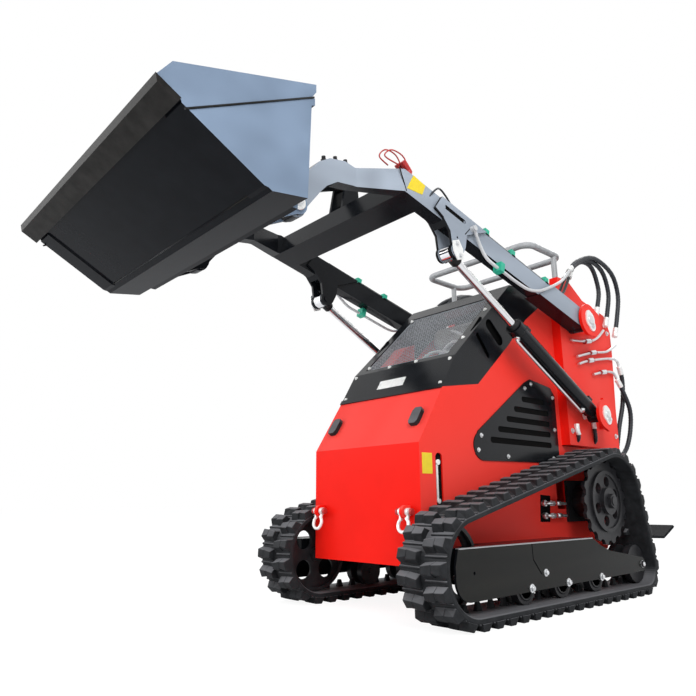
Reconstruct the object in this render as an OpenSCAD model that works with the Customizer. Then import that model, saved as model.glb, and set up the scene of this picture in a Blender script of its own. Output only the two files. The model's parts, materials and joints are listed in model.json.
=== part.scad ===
// Mini skid steer loader on rubber tracks, standing parked with its arms half
// raised and its bucket curled back. Millimetres. The front faces -Y, the
// machine's left side is +X, and the ground is Z = 0.

/* [Body] */
// Width of the body between the tracks
body_w = 524; // [490:2:536]
// Thickness of the body's sheet panels
sheet_t = 6; // [4:1:9]
// Front face of the body, from the datum under the arms
front_y = -470; // [-500:5:-440]
// Underside of the body above the ground
floor_z = 163; // [140:1:200]
// Height of the crease between the front panel and the sloping panel
brow_z = 547; // [500:1:600]
// Foot of the black hood: distance forward of the datum
hood_foot_y = -343; // [-370:1:-320]
// Foot of the black hood above the ground
hood_foot_z = 741; // [700:1:780]
// Height of the hood's flat top
hood_top_z = 1207; // [1190:1:1240]
// Rear edge of the tower plates
tower_rear_y = 840; // [800:5:880]
// Outer face of each tower plate from the centre line
tower_x = 300; // [290:1:304]
// Thickness of the ear plates that hold the pins
ear_t = 12; // [8:1:16]

/* [Tracks] */
// Width of one rubber belt
track_w = 178; // [150:2:200]
// Gap between the body's side and the belt
track_gap = 8; // [5:1:20]
// Thickness of the belt without its lugs
belt_t = 18; // [14:1:24]
// Height of the lugs
lug_h = 22; // [12:1:28]
// Number of lugs in each row
lug_count = 48; // [40:1:54]
// Radius of the front idler with the belt on it
front_r = 150; // [140:1:160]
// Centre of the front idler, forward of the datum
front_idler_y = -430; // [-450:1:-410]
// Radius of the rear idler with the belt on it
rear_r = 93; // [80:1:100]
// Centre of the rear idler, behind the datum
rear_idler_y = 645; // [620:1:670]
// Radius of the drive sprocket with the belt on it
sprocket_r = 185; // [175:1:195]
// Centre of the drive sprocket, behind the datum
sprocket_y = 482; // [460:1:500]
// Height of the drive sprocket's centre
sprocket_z = 359; // [345:1:375]
// Number of teeth on the drive sprocket
tooth_count = 17; // [12:1:20]
// Radius of each track roller
roller_r = 52; // [40:1:54]

/* [Arms] */
// Arm pivot behind the datum
pivot_y = 471; // [455:1:485]
// Arm pivot above the ground
pivot_z = 1101; // [1085:1:1115]
// Radius of the arm pivot pins
pivot_pin_r = 20; // [16:1:24]
// Length of the arm tube from its pivot to its elbow
arm_len = 1123; // [1080:1:1160]
// Slope of the arm tube as it parks, in degrees
arm_slope = 13.96; // [12:0.5:16]
// Height of the arm tube
arm_h = 78; // [70:1:84]
// Width of the arm tube
arm_w = 50; // [44:1:54]
// Middle of each arm from the centre line
arm_x = 345; // [340:1:350]
// Thickness of the plates welded to each side of the arm
gusset_t = 10; // [6:1:12]
// Depth of the box that joins the arms
cross_s = 100; // [80:1:110]

/* [Cylinders] */
// Base pin of the lift cylinders behind the datum
base_y = 533; // [525:1:540]
// Base pin of the lift cylinders above the ground
base_z = 708; // [700:1:716]
// Upper pin of the lift cylinders, forward of the datum
upper_y = -380; // [-390:1:-372]
// Upper pin of the lift cylinders above the ground
upper_z = 1188; // [1182:1:1194]
// Outer radius of the lift cylinders
lift_r = 30; // [26:1:31]
// Length of the lift cylinders' barrels from the base pin
lift_barrel_len = 620; // [600:5:640]
// Radius of the lift rods
lift_rod_r = 15; // [12:1:17]
// Radius of the cylinder pins
cyl_pin_r = 13; // [10:1:15]
// Outer radius of the tilt cylinder
tilt_r = 27; // [24:1:30]

/* [Bucket] */
// Width of the bucket's shell
bucket_w = 990; // [900:5:1050]
// How far the cutting edge stands out past each side of the shell
edge_over = 5; // [2:1:10]
// Thickness of the bucket's plates
bucket_t = 6; // [4:1:10]
// Thickness of the cutting edge
edge_t = 16; // [12:1:20]
// Bucket hinge forward of the arm's elbow
hinge_fwd = 384; // [376:1:392]
// Bucket hinge below the arm's elbow
hinge_drop = 188; // [182:1:194]
// Radius of the bucket hinge pins
hinge_pin_r = 14; // [10:1:16]
// Middle of each hinge from the centre line
hinge_x = 279; // [270:1:290]
// Width of the arm's nose at the hinge
nose_w = 42; // [34:1:48]

/* [Rear] */
// Width of the standing platform
platform_w = 760; // [700:5:800]
// Depth of the standing platform
platform_d = 300; // [260:5:330]
// Radius of the grab rail's tube
rail_r = 14; // [10:1:16]

/* [Hidden] */
$fn = 48;

red = "#d8231f";
black = "#17181a";
rubber = "#2b2b2d";
zinc = "#b9bcc0";
mint = "#5cc2a0";

fit = 0.05;
clear = 6;

// Places that follow from the sizes above.
half_w = body_w / 2;
track_x0 = half_w + track_gap;
track_x1 = track_x0 + track_w;
track_mid = (track_x0 + track_x1) / 2;
front_idler_z = front_r + lug_h;
rear_idler_z = rear_r + lug_h;
belt_z = lug_h + belt_t;
arm_in = arm_x - arm_w / 2 - gusset_t;
arm_out = arm_x + arm_w / 2 + gusset_t;
ear_x = arm_out + clear;
elbow = [pivot_y - round(arm_len * cos(arm_slope)), pivot_z + round(arm_len * sin(arm_slope))];
hinge = elbow - [hinge_fwd, hinge_drop];
lip = hinge + [-516, 60];
platform_y = 810;
mid_y = -(lip.x + platform_y + platform_d) / 2;

// Cylinder lines as they stand: length and angle above the forward level.
lift_vec = [upper_y - base_y, upper_z - base_z];
lift_len = norm(lift_vec);
lift_angle = atan2(lift_vec.y, -lift_vec.x);
tilt_base = elbow + [71, 164];
tilt_pin = hinge + [-29, 151];
tilt_vec = tilt_pin - tilt_base;
tilt_len = norm(tilt_vec);
tilt_angle = atan2(tilt_vec.y, -tilt_vec.x);

function unit(v) = v / norm(v);
function left_of(v) = [-v.y, v.x];

// A closed outline, anticlockwise, drawn in by t.
function inset(p, t) = [for (i = [0:len(p) - 1])
    let (n = len(p), u = left_of(unit(p[i] - p[(i + n - 1) % n])),
        v = left_of(unit(p[(i + 1) % n] - p[i])))
    p[i] + t * (u + v) / (1 + u * v)];

// Draws a side outline, given as Y and Z, as a plate from x0 to x1.
module side_plate(x0, x1) {
    translate([x0, 0, 0]) rotate([90, 0, 90]) linear_extrude(x1 - x0) children();
}

// A round bar along X from x0 to x1 at a place given as Y and Z.
module bar_x(x0, x1, at, r) {
    translate([x0, at.x, at.y]) rotate([0, 90, 0]) cylinder(h = x1 - x0, r = r);
}

module at_side(s) {
    if (s > 0) children();
    else mirror([1, 0, 0]) children();
}

module placed() {
    translate([0, mid_y, 0]) children();
}

// A slot with round ends between two points.
module slot2(a, b, r) {
    w = 0.99 * r * left_of(unit(b - a));
    translate(a) circle(r);
    translate(b) circle(r);
    polygon([a + w, a - w, b - w, b + w]);
}

// Smooth curve through points, m steps to a span.
function spline(p, m) = [for (i = [0:len(p) - 2], k = [0:m - 1])
    let (t = k / m, a = p[max(i - 1, 0)], b = p[i], c = p[i + 1], d = p[min(i + 2, len(p) - 1)])
    0.5 * (2 * b + (c - a) * t + (2 * a - 5 * b + 4 * c - d) * t * t
        + (3 * b - a - 3 * c + d) * t * t * t), p[len(p) - 1]];
function along(p, i) = unit(p[min(i + 1, len(p) - 1)] - p[max(i - 1, 0)]);
function square_to(t, side) = unit(side - (side * t) * t);

// A round tube swept along points in space.
module sweep(p, r, sides = 8, side = [1, 0, 0]) {
    n = len(p);
    rings = [for (i = [0:n - 1]) let (t = along(p, i), u = square_to(t, side), v = cross(t, u))
        for (k = [0:sides - 1]) p[i] + r * (u * cos(360 * k / sides) + v * sin(360 * k / sides))];
    walls = [for (i = [0:n - 2], k = [0:sides - 1])
        let (a = i * sides + k, b = i * sides + (k + 1) % sides)
        each [[a, b + sides, b], [a, a + sides, b + sides]]];
    polyhedron(rings, concat(walls, [[for (k = [0:sides - 1]) k]],
        [[for (k = [sides - 1:-1:0]) (n - 1) * sides + k]]));
}

// Body panels. Columns of the outline: distance from the datum, height.
hood_seam = [[hood_foot_y, hood_foot_z], [-142, hood_foot_z + 32], [57, 944], [200, 1080],
    [330, 1170]];
body_outline = concat([[front_y, floor_z], [700, floor_z], [790, 300], [790, 580], [400, 580],
    [400, 1195], [330, 1170]], [for (i = [3:-1:0]) hood_seam[i]], [[front_y, brow_z]]);
shackle_x = 213;
shackle_z = 330;
gauge_top = [-376, 500];
gauge_low = [-376, 350];

module body_shell() {
    inner = inset(body_outline, sheet_t);
    last = len(inner) - 1;
    color(red) placed() difference() {
        union() {
            side_plate(-half_w, half_w) polygon(body_outline);
            for (s = [-1, 1]) side_plate(s * shackle_x - 6, s * shackle_x + 6) {
                translate([front_y - 22, shackle_z]) circle(20);
                translate([front_y - 22, shackle_z - 20]) square([24, 40]);
            }
        }
        side_plate(-half_w + sheet_t, half_w - sheet_t)
            polygon([inner[0], inner[1], inner[2], [inner[2].x, 1500],
                [hood_foot_y + 40, 1500], inner[last - 1] + [1, 0], inner[last]]);
        side_plate(half_w - sheet_t - 1, half_w + 1) slot2(gauge_low, gauge_top, 17);
        side_plate(half_w - sheet_t - 1, half_w + 1) translate([330, 330]) square([60, 120]);
        bar_x(-half_w, half_w, [front_y - 22, shackle_z], 8);
    }
}

// Hood: a folded black cowl over the engine with a mesh window.
crease = [-267, 864];
shoulder = [60, 1170];
hood_top = [[330, hood_top_z], [100, hood_top_z], shoulder, crease];
window_low = crease + 24 * unit(shoulder - crease);
window_high = shoulder - 20 * unit(shoulder - crease);
window_half = half_w - 46;
hood_t = 4;

module hood() {
    outline = concat(hood_seam, hood_top);
    inner = inset(outline, hood_t);
    n = len(outline);
    slope = unit(shoulder - crease);
    foot = outline[0];
    rise = unit(crease - foot);
    out = left_of(rise);
    color(black) placed() difference() {
        union() {
            side_plate(-half_w, half_w) polygon(outline);
            side_plate(-half_w, half_w) polygon([foot + 12 * rise - 1.5 * out,
                foot + 12 * rise + 5 * out, foot - 6 * rise + 5 * out,
                foot - 6 * rise + out, foot]);
        }
        side_plate(-half_w + hood_t, half_w - hood_t)
            polygon(concat([for (p = hood_seam) p + [6, -9]],
                [for (i = [5:n - 1]) inner[i]]));
        side_plate(-window_half, window_half) polygon([window_low + 30 * left_of(slope),
            window_low - 30 * left_of(slope), window_high - 30 * left_of(slope),
            window_high + 30 * left_of(slope)]);
        for (s = [-1, 1]) at_side(s)
            side_plate(half_w - hood_t - 1, half_w + 1) {
                slot2([-52, 1012], [6, 962], 22);
                slot2([-128, 958], [-72, 890], 10);
            }
    }
}

// Mesh window: two layers of crossing wires in a flat frame.
wires_up = 17;
wires_across = 19;

module hood_mesh() {
    slope = unit(shoulder - crease);
    run = norm(window_high - window_low);
    a = atan2(slope.y, slope.x);
    half = window_half + 12;
    color("#3b3d40") placed() translate([0, window_low.x, window_low.y]) rotate([a, 0, 0])
        translate([0, 0, -hood_t]) {
            difference() {
                translate([-half, -10, -3]) cube([2 * half, run + 20, 3]);
                translate([-half + 14, 4, -4]) cube([2 * half - 28, run - 8, 5]);
            }
            for (i = [1:wires_across - 1])
                translate([-half + 6 + i * (2 * half - 12) / wires_across - 1.5, -6, -2.6])
                    cube([3, run + 12, 1.6]);
            for (i = [1:wires_up - 1])
                translate([-half + 6, -2 + i * (run + 4) / wires_up, -1.4])
                    cube([2 * half - 12, 3, 1.4]);
        }
}

// Slotted vent plates on the body's sides. Columns: from, to, height.
vent_slots = [[135, 272, 745], [79, 300, 702], [26, 300, 660], [-31, 302, 618],
    [-81, 303, 576]];
vent_t = 4;

module vent_plates() {
    color(black) placed() for (s = [-1, 1]) at_side(s) side_plate(half_w, half_w + vent_t)
        difference() {
            union() {
                polygon([[-140, 500], [330, 508], [366, 545], [366, 780], [336, 812],
                    [190, 830], [150, 812], [-163, 602], [-186, 556], [-180, 520]]);
                translate([-138, 552]) circle(51);
                translate([330, 544]) circle(36);
            }
            for (v = vent_slots) slot2([v[0], v[2]], [v[1], v[2]], 11);
        }
}

engine_top = 789;

module engine_block() {
    color("#55585c") placed() translate([-210, -110, floor_z + sheet_t])
        cube([400, 440, engine_top - floor_z - sheet_t]);
}

module muffler() {
    color("#8d8f92") placed() {
        translate([-40, 40, 1010]) rotate([0, 90, 0]) cylinder(h = 190, r = 62);
        translate([55, 40, engine_top]) cylinder(h = 190, r = 22);
    }
}

module air_cleaner() {
    color(red) placed() side_plate(-205, -135) polygon([[-100, engine_top], [-40, engine_top],
        [-40, 1010], [-90, 990], [-190, 890], [-185, 860], [-100, 860]]);
}

module rear_panel() {
    color(black) placed() {
        side_plate(-half_w, half_w) polygon([[tower_rear_y - 20, 590],
            [tower_rear_y - 12, 590], [tower_rear_y - 2, 1180], [tower_rear_y - 10, 1180]]);
        for (i = [0:4]) translate([-150, tower_rear_y - 14, 700 + 60 * i])
            cube([300, 14, 14]);
    }
}

// Dash between the towers with a raised top for the levers.
console_z = 1272;

module console() {
    color(black) placed() {
        difference() {
            side_plate(-half_w, half_w) polygon([[400, 1198], [tower_rear_y - 20, 1182],
                [tower_rear_y - 20, 1190], [620, 1200], [562, console_z], [440, console_z],
                [400, 1250]]);
            side_plate(-half_w + 4, half_w - 4) polygon([[404, 1190], [612, 1190],
                [558, console_z - 4], [442, console_z - 4], [404, 1248]]);
        }
    }
}

lever_places = [-150, -95, 20, 75, 130];

module control_levers() {
    color("#222326") placed() for (x = lever_places) {
        translate([x, 510, console_z + 4]) rotate([-8, 0, 0]) cylinder(h = 84, r = 6);
        translate([x, 522, console_z + 88]) sphere(r = 17);
        translate([x, 510, console_z]) cylinder(h = 14, r = 16);
    }
}

// Grab rail: a flat ring of tube on two posts.
rail_z = 1418;
rail_x = 280;
rail_front = 232;
rail_rear = 490;

module grab_rail() {
    c = 50;
    color("#9a9c9e") placed() {
        for (y = [rail_front, rail_rear]) translate([-rail_x + c, y, rail_z])
            rotate([0, 90, 0]) cylinder(h = 2 * (rail_x - c), r = rail_r);
        for (s = [-1, 1]) {
            translate([s * rail_x, rail_front + c, rail_z]) rotate([-90, 0, 0])
                cylinder(h = rail_rear - rail_front - 2 * c, r = rail_r);
            for (e = [0, 1]) translate([s * (rail_x - c), e ? rail_rear - c : rail_front + c,
                rail_z]) rotate([0, 0, (s > 0 ? 0 : 90) + (e ? (s > 0 ? 0 : 0) : (s > 0 ? -90 : 90))])
                rotate_extrude(angle = 90) translate([c, 0]) circle(rail_r);
            translate([s * rail_x, 430, tower_top]) cylinder(h = rail_z - tower_top,
                r = rail_r - 2);
        }
    }
}

// Standing platform behind the tracks, on two brackets from the body.
platform_z = 205;

module platform() {
    end = platform_y + platform_d;
    color(black) placed() {
        side_plate(-platform_w / 2, platform_w / 2) polygon([[platform_y, platform_z],
            [end - 120, platform_z - 8], [end - 60, platform_z + 14], [end - 8, platform_z + 34],
            [end, platform_z + 40], [end - 14, platform_z + 46], [end - 66, platform_z + 24],
            [end - 122, platform_z + 2], [platform_y, platform_z + 10]]);
        for (s = [-1, 1]) side_plate(s * 180 - 6, s * 180 + 6) polygon([[790, 230], [790, 330],
            [platform_y + 30, 330], [platform_y + 160, platform_z + 10],
            [platform_y + 160, platform_z - 40], [790, platform_z - 40]]);
    }
}

// Two rubber stops on the sloping panel that the lowered arms come near.
module bumpers() {
    face = [front_y, brow_z];
    slope = unit([hood_foot_y, hood_foot_z] - face);
    a = atan2(slope.y, slope.x);
    color(black) placed() for (x = [-208, 208])
        translate([x, face.x, face.y]) rotate([a, 0, 0]) translate([0, 104, 0])
            linear_extrude(16) polygon([[-13, -34], [13, -34], [20, -22], [20, 22], [13, 34],
                [-13, 34], [-20, 22], [-20, -22]]);
}

// Shackles on the tow lugs of the front panel.

module shackles() {
    color(zinc) placed() for (s = [-1, 1]) translate([s * shackle_x, front_y - 22, shackle_z]) {
        translate([-26, 0, 0]) rotate([0, 90, 0]) cylinder(h = 52, r = 7.5);
        translate([0, -8, -40]) rotate([78, 0, 0]) difference() {
            union() {
                rotate_extrude() translate([22, 0]) circle(5.5);
                for (k = [-1, 1]) translate([k * 15, 30, 0]) rotate([90, 0, 0])
                    cylinder(h = 24, r = 5.5, center = true);
            }
            translate([-9, 12, -10]) cube([18, 40, 20]);
        }
        for (k = [-1, 1]) translate([k * 15 - 6, 0, 0]) rotate([0, 90, 0]) difference() {
            cylinder(h = 12, r = 12);
            translate([0, 0, -1]) cylinder(h = 14, r = 7.5);
        }
    }
}

module level_gauge() {
    color(zinc) placed() {
        side_plate(half_w - sheet_t - 8, half_w - 2) {
            slot2(gauge_low + [0, 4], gauge_low + [0, 10], 11);
            slot2(gauge_top - [0, 10], gauge_top - [0, 4], 11);
        }
        side_plate(half_w - sheet_t - 6, half_w - 4) translate([gauge_low.x - 7, gauge_low.y])
            square([14, gauge_top.y - gauge_low.y]);
        side_plate(half_w - sheet_t - 10, half_w - sheet_t)
            translate([gauge_low.x - 24, gauge_low.y - 24])
            square([48, gauge_top.y - gauge_low.y + 48]);
    }
}

// Tower plates with the ears outside the arm and cylinder ends.
tower_top = 1306;
tower_outline = [[400, 582], [tower_rear_y - 16, 582], [tower_rear_y - 12, 764],
    [tower_rear_y + 10, 1033], [tower_rear_y + 10, 1129], [tower_rear_y - 34, 1204],
    [614, 1239], [500, tower_top], [412, tower_top], [400, 1250]];
pivot = [pivot_y, pivot_z];
base_pin = [base_y, base_z];
upper_pin = [upper_y, upper_z];

// Sloping web from an ear's rear edge, a to b, to the tower plate u and v further back.
module ear_tail(a, b, u, v) {
    hull() {
        side_plate(ear_x, ear_x + ear_t) polygon([a, a - [6, 0], b - [6, 0], b]);
        side_plate(tower_x - 1, tower_x + 2) polygon([a + u, a + u - [30, 0],
            b + v - [30, 0], b + v]);
    }
}

module tower(s) {
    color(red) placed() at_side(s) {
        difference() {
            union() {
                side_plate(half_w, tower_x) polygon(tower_outline);
                side_plate(ear_x, ear_x + ear_t) {
                    translate(pivot) circle(68);
                    polygon([pivot + [14, 66], pivot + [84, 38], pivot + [84, -40],
                        pivot + [44, -66], pivot + [-10, -67]]);
                    translate(base_pin) circle(61);
                    polygon([base_pin + [-14, 66], base_pin + [74, 22], base_pin + [74, -46],
                        base_pin + [16, -70], base_pin + [-30, -53]]);
                }
                // Each ear's tail bends in to the tower plate
                ear_tail(pivot + [84, 38], pivot + [84, -40], [86, -8], [86, 24]);
                ear_tail(base_pin + [74, 22], base_pin + [74, -46], [82, -12], [82, 0]);
            }
            bar_x(half_w - 1, ear_x + ear_t + 1, pivot, pivot_pin_r);
            bar_x(half_w - 1, ear_x + ear_t + 1, base_pin, cyl_pin_r);
        }
    }
}

module tower_pins() {
    color(zinc) placed() for (s = [-1, 1]) at_side(s) {
        bar_x(half_w, ear_x + ear_t, pivot, pivot_pin_r);
        bar_x(half_w, ear_x + ear_t, base_pin, cyl_pin_r);
        side_plate(ear_x + ear_t, ear_x + ear_t + 5) {
            slot2(pivot + [-8, 16], pivot + [14, -24], 24);
            translate(pivot) circle(34);
            slot2(base_pin + [-6, 14], base_pin + [12, -22], 21);
            translate(base_pin) circle(30);
        }
    }
}

// Short pipes on each tower plate, one per row: start, fitting, bend and end as Y and Z.
tube_rows = [[[462, 1028], [604, 1046], [690, 1074], [762, 1124]],
    [[500, 962], [640, 1000], [770, 1024], [866, 1070]],
    [[506, 930], [610, 960], [838, 1000], [880, 968]],
    [[628, 900], [720, 922], [812, 932], [846, 902]]];
tube_r = 6;

module tower_tubes() {
    x = tower_x + 12;
    color(zinc) placed() for (s = [-1, 1]) at_side(s) for (q = tube_rows) {
        sweep(spline([for (v = q) [x, v.x, v.y]], 3), tube_r);
        translate([x, q[1].x, q[1].y])
            rotate([atan2(q[2].y - q[0].y, q[2].x - q[0].x) - 90, 0, 0])
            cylinder(h = 44, r = 11, center = true, $fn = 6);
        translate([tower_x, q[1].x - 10, q[1].y - 8]) cube([12, 20, 16]);
    }
}

// The belt's path: three wheels, each [centre, radius], joined by tangents.
wheel_f = [[front_idler_y, front_idler_z], front_r];
wheel_b = [[rear_idler_y, rear_idler_z], rear_r];
wheel_s = [[sprocket_y, sprocket_z], sprocket_r];
function tangent(c, d) = let (v = d[0] - c[0]) atan2(v.y, v.x) - acos((c[1] - d[1]) / norm(v));
function on_wheel(c, a, out = 0) = c[0] + (c[1] + out) * [cos(a), sin(a)];
angle_fb = tangent(wheel_f, wheel_b);
angle_bs = tangent(wheel_b, wheel_s);
angle_sf = tangent(wheel_s, wheel_f);
function turn(a, b) = let (t = b - a) t < 0 ? t + 360 : t;

// Stretches of the path in turn: [start, end, angle] or [wheel, from, turn].
run_fb = norm(on_wheel(wheel_b, angle_fb) - on_wheel(wheel_f, angle_fb));
run_bs = norm(on_wheel(wheel_s, angle_bs) - on_wheel(wheel_b, angle_bs));
run_sf = norm(on_wheel(wheel_f, angle_sf) - on_wheel(wheel_s, angle_sf));
arc_b = turn(angle_fb, angle_bs) * PI / 180 * rear_r;
arc_s = turn(angle_bs, angle_sf) * PI / 180 * sprocket_r;
arc_f = turn(angle_sf, angle_fb) * PI / 180 * front_r;
ends = [run_fb, run_fb + arc_b, run_fb + arc_b + run_bs, run_fb + arc_b + run_bs + arc_s,
    run_fb + arc_b + run_bs + arc_s + run_sf];
path_len = ends[4] + arc_f;

// Place on the path at length s, and out from it: Y and Z.
function line_at(c, a, s, out) = on_wheel(c, a, out) + s * [-sin(a), cos(a)];
function arc_at(c, a, s, out) = on_wheel(c, a + s / c[1] * 180 / PI, out);
function path_at(s, out) = let (t = s % path_len)
    t < ends[0] ? line_at(wheel_f, angle_fb, t, out)
    : t < ends[1] ? arc_at(wheel_b, angle_fb, t - ends[0], out)
    : t < ends[2] ? line_at(wheel_b, angle_bs, t - ends[1], out)
    : t < ends[3] ? arc_at(wheel_s, angle_bs, t - ends[2], out)
    : t < ends[4] ? line_at(wheel_s, angle_sf, t - ends[3], out)
    : arc_at(wheel_f, angle_sf, t - ends[4], out);
pitch = path_len / lug_count;

// Points of a smooth loop, one per step on each wheel.
function loop(out, m) = [for (w = [[wheel_f, angle_sf, turn(angle_sf, angle_fb)],
    [wheel_b, angle_fb, turn(angle_fb, angle_bs)], [wheel_s, angle_bs, turn(angle_bs, angle_sf)]],
    k = [0:m]) on_wheel(w[0], w[1] + w[2] * k / m, out)];
function lugs(shift) = [for (i = [0:lug_count - 1]) let (s = (i + shift) * pitch)
    each [path_at(s, 0), path_at(s + 10, lug_h), path_at(s + 38, lug_h), path_at(s + 50, 0)]];
function guides() = [for (i = [0:lug_count - 1]) let (s = (i + 0.2) * pitch)
    each [path_at(s, -belt_t), path_at(s + 7, -belt_t - 26), path_at(s + 19, -belt_t - 26),
        path_at(s + 27, -belt_t)]];

module track(s) {
    row = (track_w - 16) / 2;
    color(rubber) placed() at_side(s) {
        side_plate(track_x0, track_x0 + row) difference() {
            polygon(lugs(0.5));
            polygon(loop(-belt_t, 13));
        }
        side_plate(track_x0 + row, track_x0 + row + 16) difference() {
            polygon(loop(0, 12));
            polygon(guides());
        }
        side_plate(track_x0 + row + 16, track_x1) difference() {
            polygon(lugs(0));
            polygon(loop(-belt_t, 13));
        }
    }
}

// Track frame: a bent outer plate with a gap line, a channel and a top flange.
frame_x = track_x1 - 22;
roller_y = [-142, 80, 310];
roller_z = belt_z + roller_r + 0.2;

module track_frame(s) {
    top = 228;
    color(black) placed() at_side(s) {
        difference() {
            union() {
                side_plate(frame_x - 8, frame_x) frame_outline(top);
                side_plate(track_mid - 34, frame_x - 8)
                    polygon([[-285, 152], [230, 152], [270, top - 8], [-285, top - 8]]);
                side_plate(track_mid - 60, frame_x - 4)
                    polygon([[-285, top - 8], [262, top - 8], [268, top], [-285, top]]);
                side_plate(track_mid - 12, frame_x - 4)
                    polygon([[-470, 152], [-284, 152], [-284, top], [-470, top]]);
                side_plate(half_w, track_mid - 34) {
                    polygon([[-300, 165], [-200, 165], [-200, 215], [-300, 215]]);
                    polygon([[100, 165], [200, 165], [200, 215], [100, 215]]);
                }
            }
            side_plate(frame_x - 4, frame_x + 1) polygon([[-128, 250], [-124, 176], [-80, 128],
                [-77, 131], [-120, 178], [-124, 250]]);
            bar_x(frame_x - 9, frame_x + 1, [-430, 158], 5);
            bar_x(frame_x - 9, frame_x + 1, wheel_b[0], 12);
        }
    }
}

module frame_outline(top) {
    difference() {
        union() {
            polygon([[-448, 80], [600, 88], [655, 90], [655, 140], [541, 157], [391, 179],
                [323, 202], [290, 220], [272, top], [-500, top], [-514, 180], [-512, 138]]);
            translate([-448, 146]) circle(66);
            translate(wheel_b[0]) circle(27);
        }
        translate([420, 250]) circle(66);
    }
}

module sprockets() {
    hole_r = 21;
    base_r = sprocket_r - belt_t - 16;
    tip_r = sprocket_r - belt_t - 2;
    color("#333538") placed() for (s = [-1, 1]) at_side(s) {
        difference() {
            union() {
                side_plate(track_mid + 10, track_mid + 24) polygon(
                    [for (i = [0:tooth_count - 1], k = [0:3])
                    let (a = 360 / tooth_count * (i + [0.05, 0.25, 0.55, 0.75][k]),
                        r = (k == 1 || k == 2) ? tip_r : base_r)
                    wheel_s[0] + r * [cos(a), sin(a)]]);
                bar_x(track_mid + 24, track_mid + 34, wheel_s[0], 118);
                bar_x(track_mid + 34, track_mid + 44, wheel_s[0], 52);
            }
            difference() {
                bar_x(track_mid + 28, track_mid + 35, wheel_s[0], 104);
                bar_x(track_mid + 27, track_mid + 36, wheel_s[0], 52);
            }
            for (i = [0:5]) bar_x(track_mid, track_mid + 40,
                wheel_s[0] + 76 * [cos(60 * i + 20), sin(60 * i + 20)], hole_r);
            bar_x(track_mid, track_mid + 60, wheel_s[0], 18);
        }
    }
}

module front_idlers() {
    rim = front_r - belt_t - 3;
    color("#333538") placed() for (s = [-1, 1]) at_side(s) {
        difference() {
            bar_x(track_mid - 44, track_mid - 34, wheel_f[0], rim);
            for (k = [0:3]) bar_x(track_mid - 50, track_mid - 30,
                wheel_f[0] + 74 * [cos(90 * k + 45), sin(90 * k + 45)], 34);
        }
        difference() {
            bar_x(track_mid - 60, track_mid - 18, wheel_f[0], rim);
            bar_x(track_mid - 61, track_mid - 17, wheel_f[0], rim - 12);
        }
        bar_x(track_mid - 60, track_mid - 12, wheel_f[0], 24);
    }
}

module rear_idlers() {
    rim = rear_r - belt_t - 3;
    color("#333538") placed() for (s = [-1, 1]) at_side(s) {
        for (x = [-44, 18]) bar_x(track_mid + x, track_mid + x + 26, wheel_b[0], rim);
        bar_x(track_mid - 50, frame_x + 8, wheel_b[0], 12);
    }
}

module rollers() {
    color("#333538") placed() for (s = [-1, 1], y = roller_y) at_side(s) {
        for (x = [-44, 18]) bar_x(track_mid + x, track_mid + x + 26, [y, roller_z], roller_r);
        bar_x(track_mid - 50, frame_x - 8, [y, roller_z], 12);
    }
}

module drive_motors() {
    color("#2a2c2f") placed() for (s = [-1, 1]) at_side(s) {
        bar_x(half_w, track_mid + 9, wheel_s[0], 62);
        bar_x(track_mid + 9, track_mid + 62, wheel_s[0], 17.5);
        translate([track_mid + 44.3, wheel_s[0].x, wheel_s[0].y]) rotate([0, 90, 0])
            cylinder(h = 14, r = 28, $fn = 6);
        side_plate(half_w, half_w + 10) polygon([[390, 280], [574, 280], [574, 440], [390, 440]]);
    }
}

// Hoses that stay on the chassis: from the tower fittings down the rear.
module chassis_hoses() {
    color(rubber) placed() for (s = [-1, 1]) at_side(s) {
        sweep(spline([[tower_x + 12, 881.5, 966.4], [tower_x + 6, 912, 906],
            [tower_x - 4, 912, 800], [tower_x - 12, 870, 690], [tower_x - 24, 838, 572],
            [half_w + 10, 792, 540]], 4), 9);
        sweep(spline([[tower_x + 12, 847.6, 900.6], [tower_x + 18, 876, 856],
            [tower_x + 20, 926, 770], [tower_x + 12, 926, 677], [tower_x + 4, 884, 590],
            [tower_x, 806, 540]], 4), 9);
    }
}

// Hoses that bridge the arm pivot, from the arm's three pipes to the tower.
pipe_end = [410, 1288];
low_pipe_end = [382, 1305];
hose_end = [for (q = [[-11, pipe_end, 1.75], [11, pipe_end, 1.1], [30, low_pipe_end, 0.5]])
    [arm_x + q[0], q[1].x + 0.65 * q[2], q[1].y + 0.76 * q[2]]];

module arm_hoses() {
    color(rubber) placed() for (s = [-1, 1]) at_side(s) for (k = [0:2]) {
        sweep(spline([hose_end[k], [arm_x - 16 + 18 * k, 486 - 6 * k, 1352 + 10 * k],
            [arm_x - 18 + 18 * k, 588 + 24 * k, 1411 + 10 * k],
            [arm_x - 22 + 18 * k, 690 + 56 * k, 1408 - 4 * k],
            [arm_x - 26 + 16 * k, 742 + 62 * k, 1316 - 4 * k],
            [arm_x - 28 + 14 * k, 722 + 60 * k, 1236 - 24 * k],
            [arm_x - 30 + 12 * k, 704 + 56 * k, 1192 - 42 * k]], 4), 9);
    }
}

// Arms. Their side outline meets their plan outline, so the front part bends in.
slope_dir = [-cos(arm_slope), sin(arm_slope)];
slope_up = [sin(arm_slope), cos(arm_slope)];
function on_arm(d, h) = pivot + d * slope_dir + h * slope_up;
nose_top = [[-153, 15], [-192, 22], [-254, 9], [-296, -18], [-336, -62], [-381, -132]];
nose_low = [[-391, -227], [-356, -202], [-289, -114], [-266, -88], [-224, -60], [-160, -50]];

module arm_side() {
    h = arm_h / 2;
    polygon(concat([on_arm(0, -h), on_arm(0, h), on_arm(arm_len + 4, h)],
        [for (p = concat(nose_top, nose_low)) elbow + p], [on_arm(arm_len - 12, -h)]));
    translate(hinge) circle(38);
}

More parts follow.
